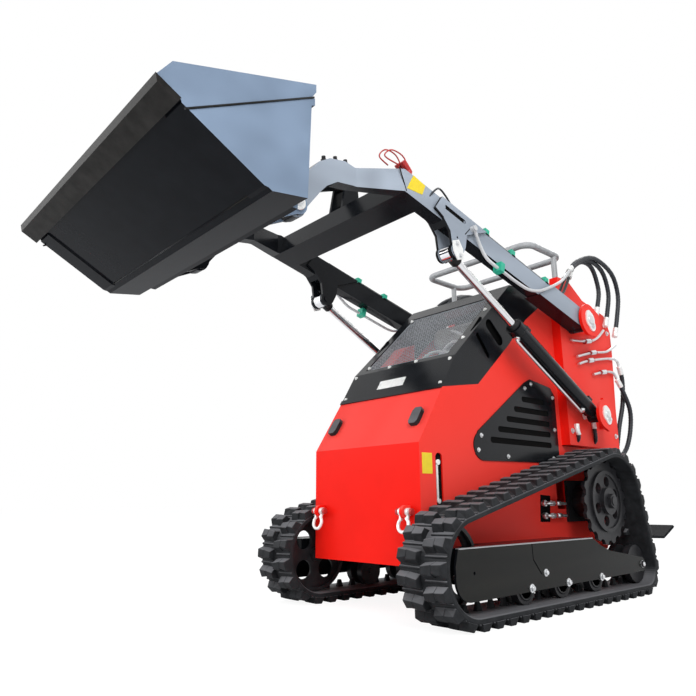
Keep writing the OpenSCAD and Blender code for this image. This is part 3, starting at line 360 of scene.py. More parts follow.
# Meshes
class Build:
    """Collects the solids of one piece."""

    def __init__(self):
        self.verts, self.faces, self.smooth = [], [], []

    def add(self, verts, faces, smooth=False):
        start = len(self.verts)
        self.verts += [Vector(v) for v in verts]
        self.faces += [[start + i for i in f] for f in faces]
        self.smooth += [smooth] * len(faces)

    def rings(self, rings, smooth=True, closed=False):
        """Joins rings of equally many points into a skin, with its ends closed."""
        n = len(rings[0])
        count = len(rings)
        faces = [[i * n + k, i * n + (k + 1) % n, (i + 1) % count * n + (k + 1) % n,
                  (i + 1) % count * n + k]
                 for i in range(count if closed else count - 1) for k in range(n)]
        start = len(self.verts)
        self.add([v for ring in rings for v in ring], faces, smooth)
        if not closed:
            self.faces += [[start + k for k in reversed(range(n))],
                           [start + (count - 1) * n + k for k in range(n)]]
            self.smooth += [False, False]

    def lathe(self, base, axis, profile, sides, smooth=True):
        """Turns (distance along the axis, radius) pairs round an axis."""
        axis = Vector(axis).normalized()
        u = axis.orthogonal().normalized()
        v = axis.cross(u)
        rings = [[Vector(base) + axis * d + r * (u * math.cos(math.tau * k / sides)
                  + v * math.sin(math.tau * k / sides)) for k in range(sides)]
                 for d, r in profile]
        self.rings(rings, smooth)

    def tube(self, points, radius, sides=8):
        """A round bar along a line of points."""
        self.rings(tube_rings(points, radius, sides))

    def disc(self, base, axis, radius, height, sides=16):
        """A round head or collar that starts at base."""
        self.lathe(base, axis, [(0, radius), (height, radius)], sides)

    def nut(self, base, axis, radius, end, start=0.0):
        """A hexagonal collar between two distances along the axis."""
        self.lathe(base, axis, [(start, radius), (end, radius)], 6, False)

    def bolt(self, base, axis, r=0.008, washer=True):
        """Hexagon head on a washer."""
        if washer:
            self.lathe(base, axis, [(0, r * 1.5), (r * 0.25, r * 1.5)], 20, False)
        self.lathe(base, axis, [(r * 0.2, r), (r * 0.95, r), (r * 1.1, r * 0.86)], 6, False)

    def block(self, corners):
        """A solid with four corners below and four above, in the same order."""
        self.add(corners, [[3, 2, 1, 0], [4, 5, 6, 7], [0, 1, 5, 4], [1, 2, 6, 5],
                           [2, 3, 7, 6], [3, 0, 4, 7]])

    def prism(self, outline, x0, x1):
        """A Y, Z outline made solid from x0 to x1."""
        n = len(outline)
        verts = [at(x, y, z) for x in (x0, x1) for y, z in outline]
        faces = [[k, (k + 1) % n, n + (k + 1) % n, n + k] for k in range(n)]
        self.add(verts, faces + [list(reversed(range(n))), [n + k for k in range(n)]])

    def mirrored(self):
        """Adds the same again on the other side of X = 0."""
        start = len(self.verts)
        self.verts += [Vector((-v.x, v.y, v.z)) for v in self.verts]
        self.faces += [[start + i for i in reversed(f)] for f in self.faces]
        self.smooth += self.smooth

    def object(self, name, slot_name, body="chassis", edge=0.0, own=None):
        mesh = bpy.data.meshes.new(name)
        mesh.from_pydata([tuple(v) for v in self.verts], [], self.faces)
        mesh.polygons.foreach_set("use_smooth", self.smooth)
        shape = bmesh.new()
        shape.from_mesh(mesh)
        bmesh.ops.recalc_face_normals(shape, faces=shape.faces)
        shape.to_mesh(mesh)
        shape.free()
        mesh.update()
        obj = bpy.data.objects.new(name, mesh)
        scene.collection.objects.link(obj)
        dress(obj, slot_name, own)
        if edge:
            soften(obj, edge)
        if body:
            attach(obj, body)
        return obj


def curve_points(points, steps):
    """Smooth curve through the points."""
    out = []
    last = len(points) - 1
    for i in range(last):
        a, b = Vector(points[max(i - 1, 0)]), Vector(points[i])
        c, d = Vector(points[i + 1]), Vector(points[min(i + 2, last)])
        for k in range(steps):
            t = k / steps
            out.append(0.5 * (2 * b + (c - a) * t + (2 * a - 5 * b + 4 * c - d) * t ** 2
                              + (3 * b - a - 3 * c + d) * t ** 3))
    return out + [Vector(points[last])]


def tube_rings(points, radius, sides):
    """Rings square to a line of points; radius is a number or a function of length and turn."""
    rings, run = [], 0.0
    side = None
    for i, p in enumerate(points):
        tangent = (points[min(i + 1, len(points) - 1)] - points[max(i - 1, 0)]).normalized()
        if side is None:
            side = tangent.orthogonal().normalized()
        side = (side - tangent * side.dot(tangent)).normalized()
        other = tangent.cross(side)
        if i:
            run += (p - points[i - 1]).length
        ring = []
        for k in range(sides):
            a = math.tau * k / sides
            r = radius(run, a) if callable(radius) else radius
            ring.append(p + r * (side * math.cos(a) + other * math.sin(a)))
        rings.append(ring)
    return rings


def even_points(points, step):
    """The same line with its points a step apart."""
    runs = [0.0]
    for a, b in zip(points, points[1:]):
        runs.append(runs[-1] + (b - a).length)
    count = max(2, round(runs[-1] / step))
    out, i = [], 0
    for k in range(count + 1):
        s = runs[-1] * k / count
        while i < len(runs) - 2 and runs[i + 1] < s:
            i += 1
        t = (s - runs[i]) / (runs[i + 1] - runs[i])
        out.append(points[i].lerp(points[i + 1], min(1, t)))
    return out


# Rubber tracks: the same path as the source's belt, round wheels given as (Y, Z) and radius.
FRONT = ((-0.430, 0.172), 0.150)
REAR = ((0.645, 0.115), 0.093)
DRIVE = ((0.482, 0.359), 0.185)
BELT, LUG = 0.018, 0.022
LUG_COUNT = 48
STEPS_PER_LUG = 6
# Half of the groove between the two rows of lugs, which is also half of a guide lug.
GROOVE = 0.008
LUG_LEAN = 0.006
LUG_TAPER = 0.005
# Places of the four corners along the belt: of a lug's foot and top, and of the low rib after it.
LUG_FOOT = (0, 0, 0.046, 0.044)
LUG_TOP = (0.011, 0.010, 0.036, 0.030)
RIB_FOOT = (0.052, 0.050, 0.061, 0.062)
RIB_TOP = (0.055, 0.053, 0.058, 0.059)
RIB = 0.004
GUIDE_START = 0.2
GUIDE_FOOT = (0, 0, 0.027, 0.027)
GUIDE_TOP = (0.007, 0.007, 0.019, 0.019)
GUIDE, GUIDE_TAPER = 0.026, 0.002
# Lugs and ribs reach this far into the belt.
ROOT = 0.001


def tangent_angle(c, d):
    v = Vector(d[0]) - Vector(c[0])
    return math.atan2(v.y, v.x) - math.acos((c[1] - d[1]) / v.length)


def belt_path():
    """Returns a function of (length, out) that gives Y and Z, and the path's length."""
    wheels = (FRONT, REAR, DRIVE)
    leave = [tangent_angle(wheels[i], wheels[(i + 1) % 3]) for i in range(3)]
    parts = []
    for i, wheel in enumerate(wheels):
        after = wheels[(i + 1) % 3]
        start = Vector(wheel[0]) + wheel[1] * Vector((math.cos(leave[i]), math.sin(leave[i])))
        end = Vector(after[0]) + after[1] * Vector((math.cos(leave[i]), math.sin(leave[i])))
        parts.append(("line", start, leave[i], (end - start).length))
        turn = (leave[(i + 1) % 3] - leave[i]) % math.tau
        parts.append(("arc", after, leave[i], turn * after[1]))
    total = sum(p[3] for p in parts)

    def place(s, out):
        s %= total
        for kind, what, angle, length in parts:
            if s <= length:
                break
            s -= length
        if kind == "line":
            normal = Vector((math.cos(angle), math.sin(angle)))
            return what + out * normal + s * Vector((-normal.y, normal.x))
        turned = angle + s / what[1]
        return Vector(what[0]) + (what[1] + out) * Vector((math.cos(turned), math.sin(turned)))

    return place, total


def make_track(side, word):
    place, total = belt_path()
    pitch = total / LUG_COUNT
    x0, x1 = TRACK_X
    middle = (x0 + x1) / 2
    piece = Build()

    def corners(xs, runs, out):
        """Places at one height over the belt, from the X and the length along it of each."""
        found = []
        for x, run in zip(xs, runs):
            y, z = place(run, out)
            found.append(at(side * x, y, z))
        return found

    steps = LUG_COUNT * STEPS_PER_LUG
    section = [(x0, -0.004), (x0 + 0.003, 0), (x1 - 0.003, 0), (x1, -0.004),
               (x1, -BELT + 0.003), (x1 - 0.004, -BELT), (x0 + 0.004, -BELT),
               (x0, -BELT + 0.003)]
    piece.rings([[corners([x], [total * i / steps], out)[0] for x, out in section]
                 for i in range(steps)], smooth=False, closed=True)
    # Lugs in two staggered rows, skewed into a chevron, with a groove down the middle.
    for i in range(LUG_COUNT):
        for inner, outer, shift in ((middle - GROOVE, x0, 0.5), (middle + GROOVE, x1, 0.0)):
            s = (i + shift) * pitch
            far = outer - math.copysign(LUG_TAPER, outer - middle)
            waist = (inner + outer) / 2
            for near, end, a, b in ((inner, waist, LUG_LEAN, LUG_LEAN * 0.2),
                                    (waist, outer, LUG_LEAN * 0.2, 0.0)):
                tip = far if end == outer else end
                leans = (a, b, b, a)
                piece.block(corners((near, end, end, near),
                                    [s + d + lean for d, lean in zip(LUG_FOOT, leans)], -ROOT)
                            + corners((near, tip, tip, near),
                                      [s + d + lean for d, lean in zip(LUG_TOP, leans)], LUG))
            # A low rib across the gap to the next lug.
            xs = (inner, outer, outer, inner)
            piece.block(corners(xs, [s + d for d in RIB_FOOT], -ROOT)
                        + corners(xs, [s + d for d in RIB_TOP], RIB))
        # A guide lug on the belt's inner face.
        s = (i + GUIDE_START) * pitch
        low, high = middle - GROOVE, middle + GROOVE
        piece.block(corners((low, high, high, low), [s + d for d in GUIDE_FOOT], -BELT + ROOT)
                    + corners((low + GUIDE_TAPER, high - GUIDE_TAPER, high - GUIDE_TAPER,
                               low + GUIDE_TAPER), [s + d for d in GUIDE_TOP], -BELT - GUIDE))
    obj = piece.object("track_belt_" + word, "rubber", edge=0.0022)
    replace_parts(obj, "track_" + word)


# Body details
def slab(piece, place, x, s, h):
    """A block on one of the sloping faces; x, s and h are (from, to)."""
    piece.block([place(x[0], s[0], h[0]), place(x[1], s[0], h[0]), place(x[1], s[1], h[0]),
                 place(x[0], s[1], h[0]), place(x[0], s[0], h[1]), place(x[1], s[0], h[1]),
                 place(x[1], s[1], h[1]), place(x[0], s[1], h[1])])


def mesh_window():
    """Frame and crossing wires of the hood's window, each in a layer of its own."""
    wires = Build()
    half, run, low = 0.228, 0.404, 0.024
    band, over, reach = 0.014, 0.010, 0.006
    band_layer = (-0.0068, -0.0045)
    rising_layer = (-0.0066, -0.0058)
    level_layer = (-0.0061, -0.0053)
    rising, level = 46, 30
    rising_half, level_half = 0.0011, 0.0012
    for x in (-half, half - band):
        slab(wires, on_hood, (x, x + band), (low - over, low + run + over), band_layer)
    for s in (low - over, low + run - 0.004):
        slab(wires, on_hood, (-half, half), (s, s + band), band_layer)
    for i in range(1, rising):
        x = -half + 2 * half * i / rising
        slab(wires, on_hood, (x - rising_half, x + rising_half),
             (low - reach, low + run + reach), rising_layer)
    for i in range(1, level):
        s = low + run * i / level
        slab(wires, on_hood, (-half + reach, half - reach), (s - level_half, s + level_half),
             level_layer)
    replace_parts(wires.object("fine_mesh", "mesh_steel"), "hood_mesh")


def hood_details():
    hood_out = on_hood(0, 0, 1) - on_hood(0, 0, 0)
    brow_out = on_brow(0, 0, 1) - on_brow(0, 0, 0)
    plate = Build()
    slab(plate, on_brow, (-0.078, 0.056), (0.042, 0.082), (-SUNK, 0.0022))
    plate.object("bare_hood_plate", "zinc", edge=0.0006, own=PALE_ZINC)
    for letter, x in (("a", -0.070), ("b", 0.048)):
        rivet = Build()
        rivet.bolt(on_brow(x, 0.062, 0.002), brow_out, 0.003, False)
        rivet.object("plate_rivet_" + letter, "zinc")

    bolts = Build()
    for x, s in ((-0.205, 0.040), (-0.205, 0.405), (-0.07, 0.012), (0.07, 0.012),
                 (0.234, 0.12), (0.234, 0.32)):
        bolts.bolt(on_hood(x, s, 0.0), hood_out, 0.0055)
    for x in (0.245, -0.245):
        for s in (0.02, 0.13):
            bolts.bolt(on_brow(x, s, 0.0), brow_out, 0.005)
    bolts.object("hood_bolts", "zinc", own=PALE_ZINC)

    # Bright lines of the engine under the mesh.
    engine = Build()
    for x0, x1, s, h in ((-0.06, 0.17, 0.13, -0.05), (0.02, 0.19, 0.2, -0.06),
                         (-0.02, 0.12, 0.28, -0.05)):
        engine.tube(curve_points(
            [on_hood(x0, s, h - 0.03), on_hood(x0 * 0.6 + x1 * 0.4, s + 0.03, h),
             on_hood(x1, s - 0.01, h - 0.01), on_hood(x1, s + 0.05, h - 0.07)], 6), 0.006, 10)
    engine.object("engine_lines", "hot_steel", own=PALE_ZINC)


# Vent slots of the side plate, in millimetres as in the source: Y of both ends, Z of the middle.
# The plate of painted shade behind a slot reaches VENT_END past both of them, and is VENT_HALF
# high above and below the middle.
VENT_SLOTS = ((135, 272, 745), (79, 300, 702), (26, 300, 660), (-31, 302, 618), (-81, 303, 576))
VENT_END = 13
VENT_HALF = 12.5


def painted_shade_openings():
    slots = Build()
    for low, high, z in VENT_SLOTS:
        slots.prism(rectangle((low - VENT_END) / 1000, (high + VENT_END) / 1000,
                              (z - VENT_HALF) / 1000, (z + VENT_HALF) / 1000),
                    HALF_W - SUNK, HALF_W + 0.0006)
    # Painted shade in the opening behind the sprocket, where the drive's fittings show.
    slots.prism([(0.198, 0.284), (0.264, 0.282), (0.280, 0.380), (0.210, 0.384)],
                HALF_W - SUNK, HALF_W + 0.0008)
    # Painted shade behind the hood's side slots.
    slots.prism([(-0.150, 0.872), (-0.060, 0.872), (0.040, 0.945), (0.040, 1.040),
                 (-0.090, 1.040), (-0.150, 0.975)], HALF_W - 0.016, HALF_W - 0.013)
    slots.mirrored()
    slots.object("painted_shade_openings", "satin_black", own=SHADE_FILL)


def body_bolts():
    bolts = Build()
    for y, z in ((0.195, 0.812), (-0.146, 0.588), (-0.166, 0.536), (0.010, 0.520),
                 (0.322, 0.526), (0.348, 0.772), (0.150, 0.790), (0.345, 0.640)):
        bolts.bolt(at(HALF_W + 0.004, y, z), ACROSS, 0.0055)
    for y, z in ((0.425, 1.215), (0.425, 0.640), (0.80, 0.640), (0.815, 1.120)):
        bolts.bolt(at(TOWER_X, y, z), ACROSS, 0.0075)
    bolts.mirrored()
    # On the rear panel, which leans.
    foot_y, foot_z, lean = 0.828, 0.59, 0.017
    for x in (-0.24, 0.24):
        for z in (0.62, 1.15):
            bolts.bolt(at(x, foot_y + (z - foot_z) * lean, z), REARWARD, 0.007)
    bolts.object("body_bolts", "zinc")


def side_details():
    """Level gauge, blank sign and the pins of the shackles."""
    gauge = Build()
    gauge.prism(rectangle(-0.389, -0.381, 0.358, 0.492), HALF_W - 0.004, HALF_W - SUNK)
    gauge.disc(at(HALF_W - 0.003, -0.382, 0.486), ACROSS, 0.009, 0.006)
    gauge.disc(at(HALF_W - 0.003, -0.382, 0.362), ACROSS, 0.008, 0.005)
    gauge.mirrored()
    gauge.object("gauge_tube", "zinc", own=PALE_ZINC)

    sign = Build()
    sign.prism(rectangle(-0.458, -0.410, 0.448, 0.514), HALF_W - SUNK, HALF_W + 0.0010)
    sign.object("blank_side_sign", "red_paint", own=YELLOW)

    pins = Build()
    for side in (-1, 1):
        for end in (-1, 1):
            pins.lathe(at(side * 0.213 + end * 0.0255, -0.492, 0.330), (end, 0, 0),
                       [(0, 0.011), (0.007, 0.011), (0.009, 0.009)], 16)
    pins.object("shackle_pins", "coupler_red", edge=0.0005)


def drive_fittings():
    """Two fittings in the opening behind the sprocket. Their pipes stop short of the motor."""
    stubs, caps = Build(), Build()
    pipe_x = HALF_W + 0.024
    for z in (0.306, 0.352):
        stubs.nut(at(HALF_W, 0.222, z), ACROSS, 0.013, 0.014)
        stubs.tube(curve_points(
            [at(HALF_W + 0.010, 0.222, z), at(HALF_W + 0.020, 0.224, z), at(pipe_x, 0.236, z),
             at(pipe_x, 0.300, z), at(HALF_W + 0.022, 0.350, z - 0.002)], 5), 0.006, 12)
        stubs.nut(at(pipe_x, 0.242, z), REARWARD, 0.0105, 0.018)
        stubs.disc(at(pipe_x, 0.276, z), REARWARD, 0.009, 0.030)
        caps.disc(at(pipe_x, 0.262, z), REARWARD, 0.0095, 0.010)
    stubs.mirrored()
    caps.mirrored()
    stubs.object("drive_fittings", "zinc")
    caps.object("drive_fitting_caps", "coupler_red")


def standing_place():
    """Grip ribs across the platform, and the boots of the levers in front of it."""
    ribs = Build()
    half, width = 0.34, 0.007
    for i in range(7):
        y = 0.830 + 0.028 * i
        z = 0.2146 - 0.0444 * (y - 0.810)
        ribs.block([at(x, y + d, z + h) for h in (-0.002, 0.0035)
                    for x, d in ((-half, 0), (half, 0), (half, width), (-half, width))])
    ribs.object("platform_ribs", "satin_black")

    boots = Build()
    for x in (-0.150, -0.095, 0.020, 0.075, 0.130):
        boots.lathe(at(x, 0.510, 1.270), UP, [(0, 0.021), (0.006, 0.021), (0.009, 0.016),
                    (0.013, 0.018), (0.017, 0.013), (0.021, 0.015), (0.026, 0.009)], 20)
    boots.object("lever_boots", "grip_plastic")


# Outer faces that pin heads and keepers lie on.
TOWER_PIN_X = 0.403
KEEPER_X = (0.3845, 0.3895)
KEEPER_TURN = -0.35
HINGE_X = (0.318, 0.323)
# The tilt cylinder's pins: Y and Z at its base and at the bucket.
TILT_BASE = (-0.548, 1.536)
TILT_END = (-1.032, 1.335)


def pin_details():
    """Keepers, pin heads and their bolts."""
    c, s = math.cos(KEEPER_TURN), math.sin(KEEPER_TURN)
    for side, word in SIDES:
        out = (side, 0, 0)
        towers = Build()
        for pin, bolt, r in ((PIVOT, (0.014, -0.024), 0.020), (BASE_PIN, (0.012, -0.022), 0.013)):
            towers.bolt(at(side * TOWER_PIN_X, pin[0] + bolt[0], pin[1] + bolt[1]), out, 0.008)
            towers.lathe(at(side * TOWER_PIN_X, *pin), out,
                         [(0, r), (0.003, r), (0.0045, r - 0.003)], 28)
        towers.object("tower_keeper_bolts_" + word, "zinc")
        upper = Build()
        low, high = sorted(side * x for x in KEEPER_X)
        upper.prism([(UPPER_PIN[0] + c * a + s * b, UPPER_PIN[1] - s * a + c * b)
                     for a, b in ((-0.017, -0.034), (0.017, -0.034), (0.026, 0), (0.017, 0.034),
                                  (-0.017, 0.034), (-0.026, 0))], low, high)
        upper.object("upper_keeper_" + word, "zinc", "lift_arms", 0.0008, own=PALE_ZINC)
        heads = Build()
        for b in (-0.021, 0.021):
            heads.bolt(at(side * KEEPER_X[1], UPPER_PIN[0] + s * b, UPPER_PIN[1] + c * b),
                       out, 0.006)
        heads.object("upper_keeper_bolts_" + word, "zinc", "lift_arms")
        hinge = Build()
        hinge.lathe(at(side * HINGE_X[0], *HINGE), out,
                    [(0, 0.023), (0.004, 0.023), (0.0055, 0.020)], 28)
        hinge.object("hinge_disc_" + word, "zinc", "bucket", own=PALE_ZINC)
        nut = Build()
        nut.bolt(at(side * HINGE_X[1], *HINGE), out, 0.009)
        nut.object("hinge_bolt_" + word, "zinc", "bucket")
    for name, body, pin in (("tilt_base_bolts", "lift_arms", TILT_BASE),
                            ("tilt_pin_bolts", "bucket", TILT_END)):
        tilt = Build()
        for x in (-0.038, 0.038):
            tilt.bolt(at(x, *pin), (x, 0, 0), 0.010)
        tilt.object(name, "zinc", body)


def cylinder_details():
    along = on_lift(1, 0) - on_lift(0, 0)
    below = on_lift(0, -1) - on_lift(0, 0)
    rod_end = 1.0315
    for side, word in SIDES:
        x = side * ARM_X
        pipe = Build()
        pipe.tube(curve_points(
            [on_lift(s, h, x) for s, h in ((0.092, -0.028), (0.096, -0.041), (0.125, -0.044),
                                           (0.34, -0.044), (0.545, -0.044), (0.578, -0.041),
                                           (0.584, -0.028))], 5), 0.0055, 10)
        for s in (0.092, 0.584):
            pipe.nut(on_lift(s, -0.024, x), below, 0.012, 0.014)
        pipe.object("barrel_pipe_" + word, "zinc", "lift_barrel_" + word)
        for name, body, s, profile in (
                ("gland_", "lift_barrel_", 0.6205,
                 [(0, 0.027), (0.006, 0.027), (0.009, 0.020), (0.013, 0.020), (0.013, 0.0155),
                  (0.0, 0.0155)]),
                ("barrel_band_", "lift_barrel_", 0.585,
                 [(0, 0.0331), (0.001, 0.0342), (0.004, 0.0342), (0.005, 0.0331)]),
                ("rod_sleeve_", "lift_rod_", rod_end - 0.052,
                 [(0, 0.017), (0.004, 0.0205), (0.030, 0.0205), (0.034, 0.017)])):
            ring = Build()
            ring.lathe(on_lift(s, 0, x), along, profile, 32)
            ring.object(name + word, "satin_black", body + word)


# Hoses: radii, points to a ring, and the distance between rings.
HOSE_R, CRIMP_R = 0.0102, 0.0118
FOOT_HOSE_R, FOOT_CRIMP_R = 0.0082, 0.0100
HOSE_SIDES = 14
HOSE_STEP = 0.0026
# A crimp reaches this far back over the pipe.
CRIMP_BACK = 0.006
# The spiral wrap's pitch, and its groove's depth and share of the pitch.
WRAP_PITCH, WRAP_DEPTH, WRAP_SHARE = 0.013, 0.0013, 0.22
# Points of a hose that its crimp covers: at the arm, at the tower, behind it, and at the foot.
ARM_CRIMP, TOWER_CRIMP, REAR_CRIMP, FOOT_CRIMP = 13, 14, 15, 13
# Hoses over the arm pivot. A start is X from the arm's middle, Y, Z and a number of steps of
# PIPE_WAY, which is one millimetre along the pipe's end. A later point is X, Y and Z, each
# followed by what it gains from one hose to the next.
PIPE_WAY = (0.00065, 0.00076)
BRIDGE_STARTS = ((-0.011, 0.410, 1.288, 1.75), (0.011, 0.410, 1.288, 1.1),
                 (0.030, 0.382, 1.305, 0.5))
BRIDGE_LINE = ((-0.016, 0.018, 0.486, -0.006, 1.352, 0.010),
               (-0.018, 0.018, 0.588, 0.024, 1.411, 0.010),
               (-0.022, 0.018, 0.690, 0.056, 1.408, -0.004),
               (-0.026, 0.016, 0.742, 0.062, 1.316, -0.004),
               (-0.028, 0.014, 0.722, 0.060, 1.236, -0.024),
               (-0.030, 0.012, 0.704, 0.056, 1.192, -0.042))
# Hoses down the back of a tower, from the pipe to the body's side: X, Y and Z on the left.
REAR_LINES = (((0.312, 0.8815, 0.9664), (0.306, 0.912, 0.906), (0.296, 0.912, 0.800),
               (0.288, 0.870, 0.690), (0.276, 0.838, 0.572), (0.272, 0.792, 0.540)),
              ((0.312, 0.8476, 0.9006), (0.318, 0.876, 0.856), (0.320, 0.926, 0.770),
               (0.312, 0.926, 0.677), (0.304, 0.884, 0.590), (0.300, 0.806, 0.540)))
# Fittings on the tower's pipes: Y and Z of the place, and of a point further along the pipe.
TOWER_FITTINGS = ((0.604, 1.046, 0.690, 1.074), (0.640, 1.000, 0.770, 1.024),
                  (0.610, 0.960, 0.838, 1.000), (0.720, 0.922, 0.812, 0.932))


def hose_path(points, side):
    """The source's spline on one side of the machine, drawn finer."""
    return even_points(curve_points([at(side * x, y, z) for x, y, z in points], 4), HOSE_STEP)


def crimp_path(path, count):
    """The first points of a hose, led back over the end of the pipe that it joins."""
    back = (path[1] - path[0]).normalized()
    return [path[0] - CRIMP_BACK * back] + path[:count]


def spiral(radius):
    """Radius of a hose in a spiral wrap: a flat band with a groove beside it."""
    def wrapped(run, turn):
        phase = (run / WRAP_PITCH - turn / math.tau) % 1
        return radius - (WRAP_DEPTH if phase < WRAP_SHARE else 0.0)
    return wrapped


def bridge_hoses(side, word):
    """The three hoses over one arm's pivot, with a crimp at both ends of each."""
    hoses, tower_ends, arm_ends = Build(), Build(), Build()
    for k, (dx, y, z, gap) in enumerate(BRIDGE_STARTS):
        line = [(ARM_X + dx, y + PIPE_WAY[0] * gap, z + PIPE_WAY[1] * gap)]
        line += [(ARM_X + x + grow_x * k, y + grow_y * k, z + grow_z * k)
                 for x, grow_x, y, grow_y, z, grow_z in BRIDGE_LINE]
        path = hose_path(line, side)
        hoses.tube(path, spiral(HOSE_R), HOSE_SIDES)
        arm_ends.tube(crimp_path(path, ARM_CRIMP), CRIMP_R, HOSE_SIDES)
        tower_ends.tube(path[-TOWER_CRIMP:], CRIMP_R, HOSE_SIDES)
        tower_ends.nut(path[-1], path[-1] - path[-4], 0.013, 0.012, -0.004)
    hoses = hoses.object("arm_hoses_" + word, "rubber", None, own=HOSE)
    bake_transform(hoses)
    if side > 0:
        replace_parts(hoses, "arm_hoses")
    tower_ends.object("hose_ends_" + word, "zinc", own=PALE_ZINC)
    arm_ends.object("arm_hose_ends_" + word, "zinc", "lift_arms", own=PALE_ZINC)


def tower_hoses(side, word):
    """Hoses down the back of one tower and under its lift cylinder's foot."""
    rear, crimps, drop = Build(), Build(), Build()
    for line in REAR_LINES:
        path = hose_path(line, side)
        rear.tube(path, spiral(HOSE_R), HOSE_SIDES)
        crimps.tube(crimp_path(path, REAR_CRIMP), CRIMP_R, HOSE_SIDES)
        # Bulkhead fitting on the body's side, where the hose ends.
        x, y, z = line[-1]
        crimps.nut(at(side * HALF_W, y, z), (side, 0, 0), 0.0125, x - HALF_W + 0.009)
    obj = rear.object("rear_hoses_" + word, "rubber", own=HOSE)
    if side > 0:
        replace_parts(obj, "chassis_hoses")
    # Two short hoses, from under the lift cylinder's foot into the tower's plate.
    for y, z in ((0.448, 0.655), (0.590, 0.690)):
        path = hose_path([(0.309, y, z), (0.309, y + 0.003, z - 0.018), (0.309, y + 0.008, 0.628),
                          (0.304, y + 0.013, 0.608), (0.293, y + 0.015, 0.599)], side)
        drop.tube(path, spiral(FOOT_HOSE_R), HOSE_SIDES)
        crimps.tube(path[:FOOT_CRIMP], FOOT_CRIMP_R, HOSE_SIDES)
        crimps.nut(path[0], UP, 0.011, 0.014, -0.002)
    drop.object("foot_hoses_" + word, "rubber", own=HOSE)
    crimps.object("hose_crimps_" + word, "zinc", own=PALE_ZINC)


def fitting_collars(side, word):
    """Red collars on both ends of the fittings of one tower's pipes."""
    collars = Build()
    for y0, z0, y1, z1 in TOWER_FITTINGS:
        way = Vector((0, y1 - y0, z1 - z0)).normalized()
        for step in (-0.030, 0.024):
            collars.disc(at(side * 0.312, y0, z0) + way * step, way, 0.0085, 0.007)
    collars.object("fitting_collars_" + word, "coupler_red")


def hose_details():
    for side, word in SIDES:
        bridge_hoses(side, word)
        tower_hoses(side, word)
        fitting_collars(side, word)


# Outer faces of the plates at the arm's elbow and at the lift cylinder's upper pin.
ELBOW_X, EAR_X = 0.3695, 0.379
CLAMPS = (0.288, 0.520, 0.685)


def clamp_details():
    """Feet under the pipe clamps and small plates with a bolt on top of them."""
    feet, tops = Build(), Build()
    for d in CLAMPS:
        for piece, half, low, high in ((feet, 0.029, 0.0385, 0.0425),
                                       (tops, 0.010, 0.0655, 0.068)):
            piece.block([on_arm(d + e, h, ARM_X + x) for h in (low, high) for x, e in
                         ((-half, -0.009), (half, -0.009), (half, 0.009), (-half, 0.009))])
        tops.bolt(on_arm(d, 0.068, ARM_X), on_arm(0, 1) - on_arm(0, 0), 0.004, False)
    feet.mirrored()
    tops.mirrored()
    feet.object("clamp_feet", "satin_black", "lift_arms", 0.0006)
    tops.object("clamp_bolts", "zinc", "lift_arms")


def arm_details():
    clamp_details()
    sign = Build()
    sign.prism([(-0.608, 1.345), (-0.535, 1.346), (-0.518, 1.384), (-0.575, 1.402)],
               ELBOW_X, 0.3712)
    sign.object("blank_arm_sign", "gloss_black", "lift_arms", own=YELLOW)

    # Painted shade filling the slot in the plate.
    slot = Build()
    slot.prism([(-0.4225, 1.3410), (-0.4265, 1.3255), (-0.3315, 1.3005), (-0.3275, 1.3165)],
               0.3765, 0.3776)
    slot.mirrored()
    slot.object("plate_slot_painted_shade", "gloss_black", "lift_arms", own=SHADE_FILL)

    # Weld beads beside the plates at the elbow and the lift cylinder's pin.
    beads = Build()
    for x, start, end in ((ELBOW_X, (-0.610, 1.334), (-0.640, 1.410)),
                          (EAR_X, (-0.481, 1.316), (-0.441, 1.293)),
                          (EAR_X, (-0.328, 1.262), (-0.300, 1.290))):
        beads.tube([at(x, *start), at(x, *end)], 0.0022)
    beads.mirrored()
    beads.object("arm_beads", "gloss_black", "lift_arms")

    loop = Build()
    for k in range(2):
        x = 0.333 + 0.025 * k
        loop.tube(curve_points(
            [at(x, -0.655 + 0.02 * k, 1.425), at(x - 0.004, -0.690, 1.446 - 0.01 * k),
             at(x + 0.006, -0.672, 1.472 - 0.012 * k), at(x + 0.004, -0.625, 1.474 - 0.010 * k),
             at(x, -0.596, 1.450), at(x, -0.590, 1.412)], 6), 0.0024)
    loop.object("coupler_tethers", "coupler_red", "lift_arms")

    thin = Build()
    thin.tube(curve_points(
        [at(0.366, -0.500, 1.350), at(0.374, -0.470, 1.385), at(0.366, -0.436, 1.402),
         at(0.358, -0.392, 1.388), at(0.352, -0.345, 1.352)], 6), 0.0035)
    thin.object("thin_arm_hose", "rubber", "lift_arms", own=HOSE)

    nose = Build()
    nose_up = (0, -0.1, 1)
    for y, z in ((-0.800, 1.393), (-0.842, 1.388), (-0.888, 1.372)):
        nose.nut(at(0.288, y, z - 0.006), nose_up, 0.009, 0.010)
        nose.disc(at(0.288, y, z + 0.003), nose_up, 0.0065, 0.011, 14)
    nose.mirrored()
    nose.object("nose_fittings", "satin_black", "lift_arms")


# The bucket's underside at its heel and at its lip.
HEEL, LIP = Vector((-1.213, 1.076)), Vector((-1.519, 1.244))


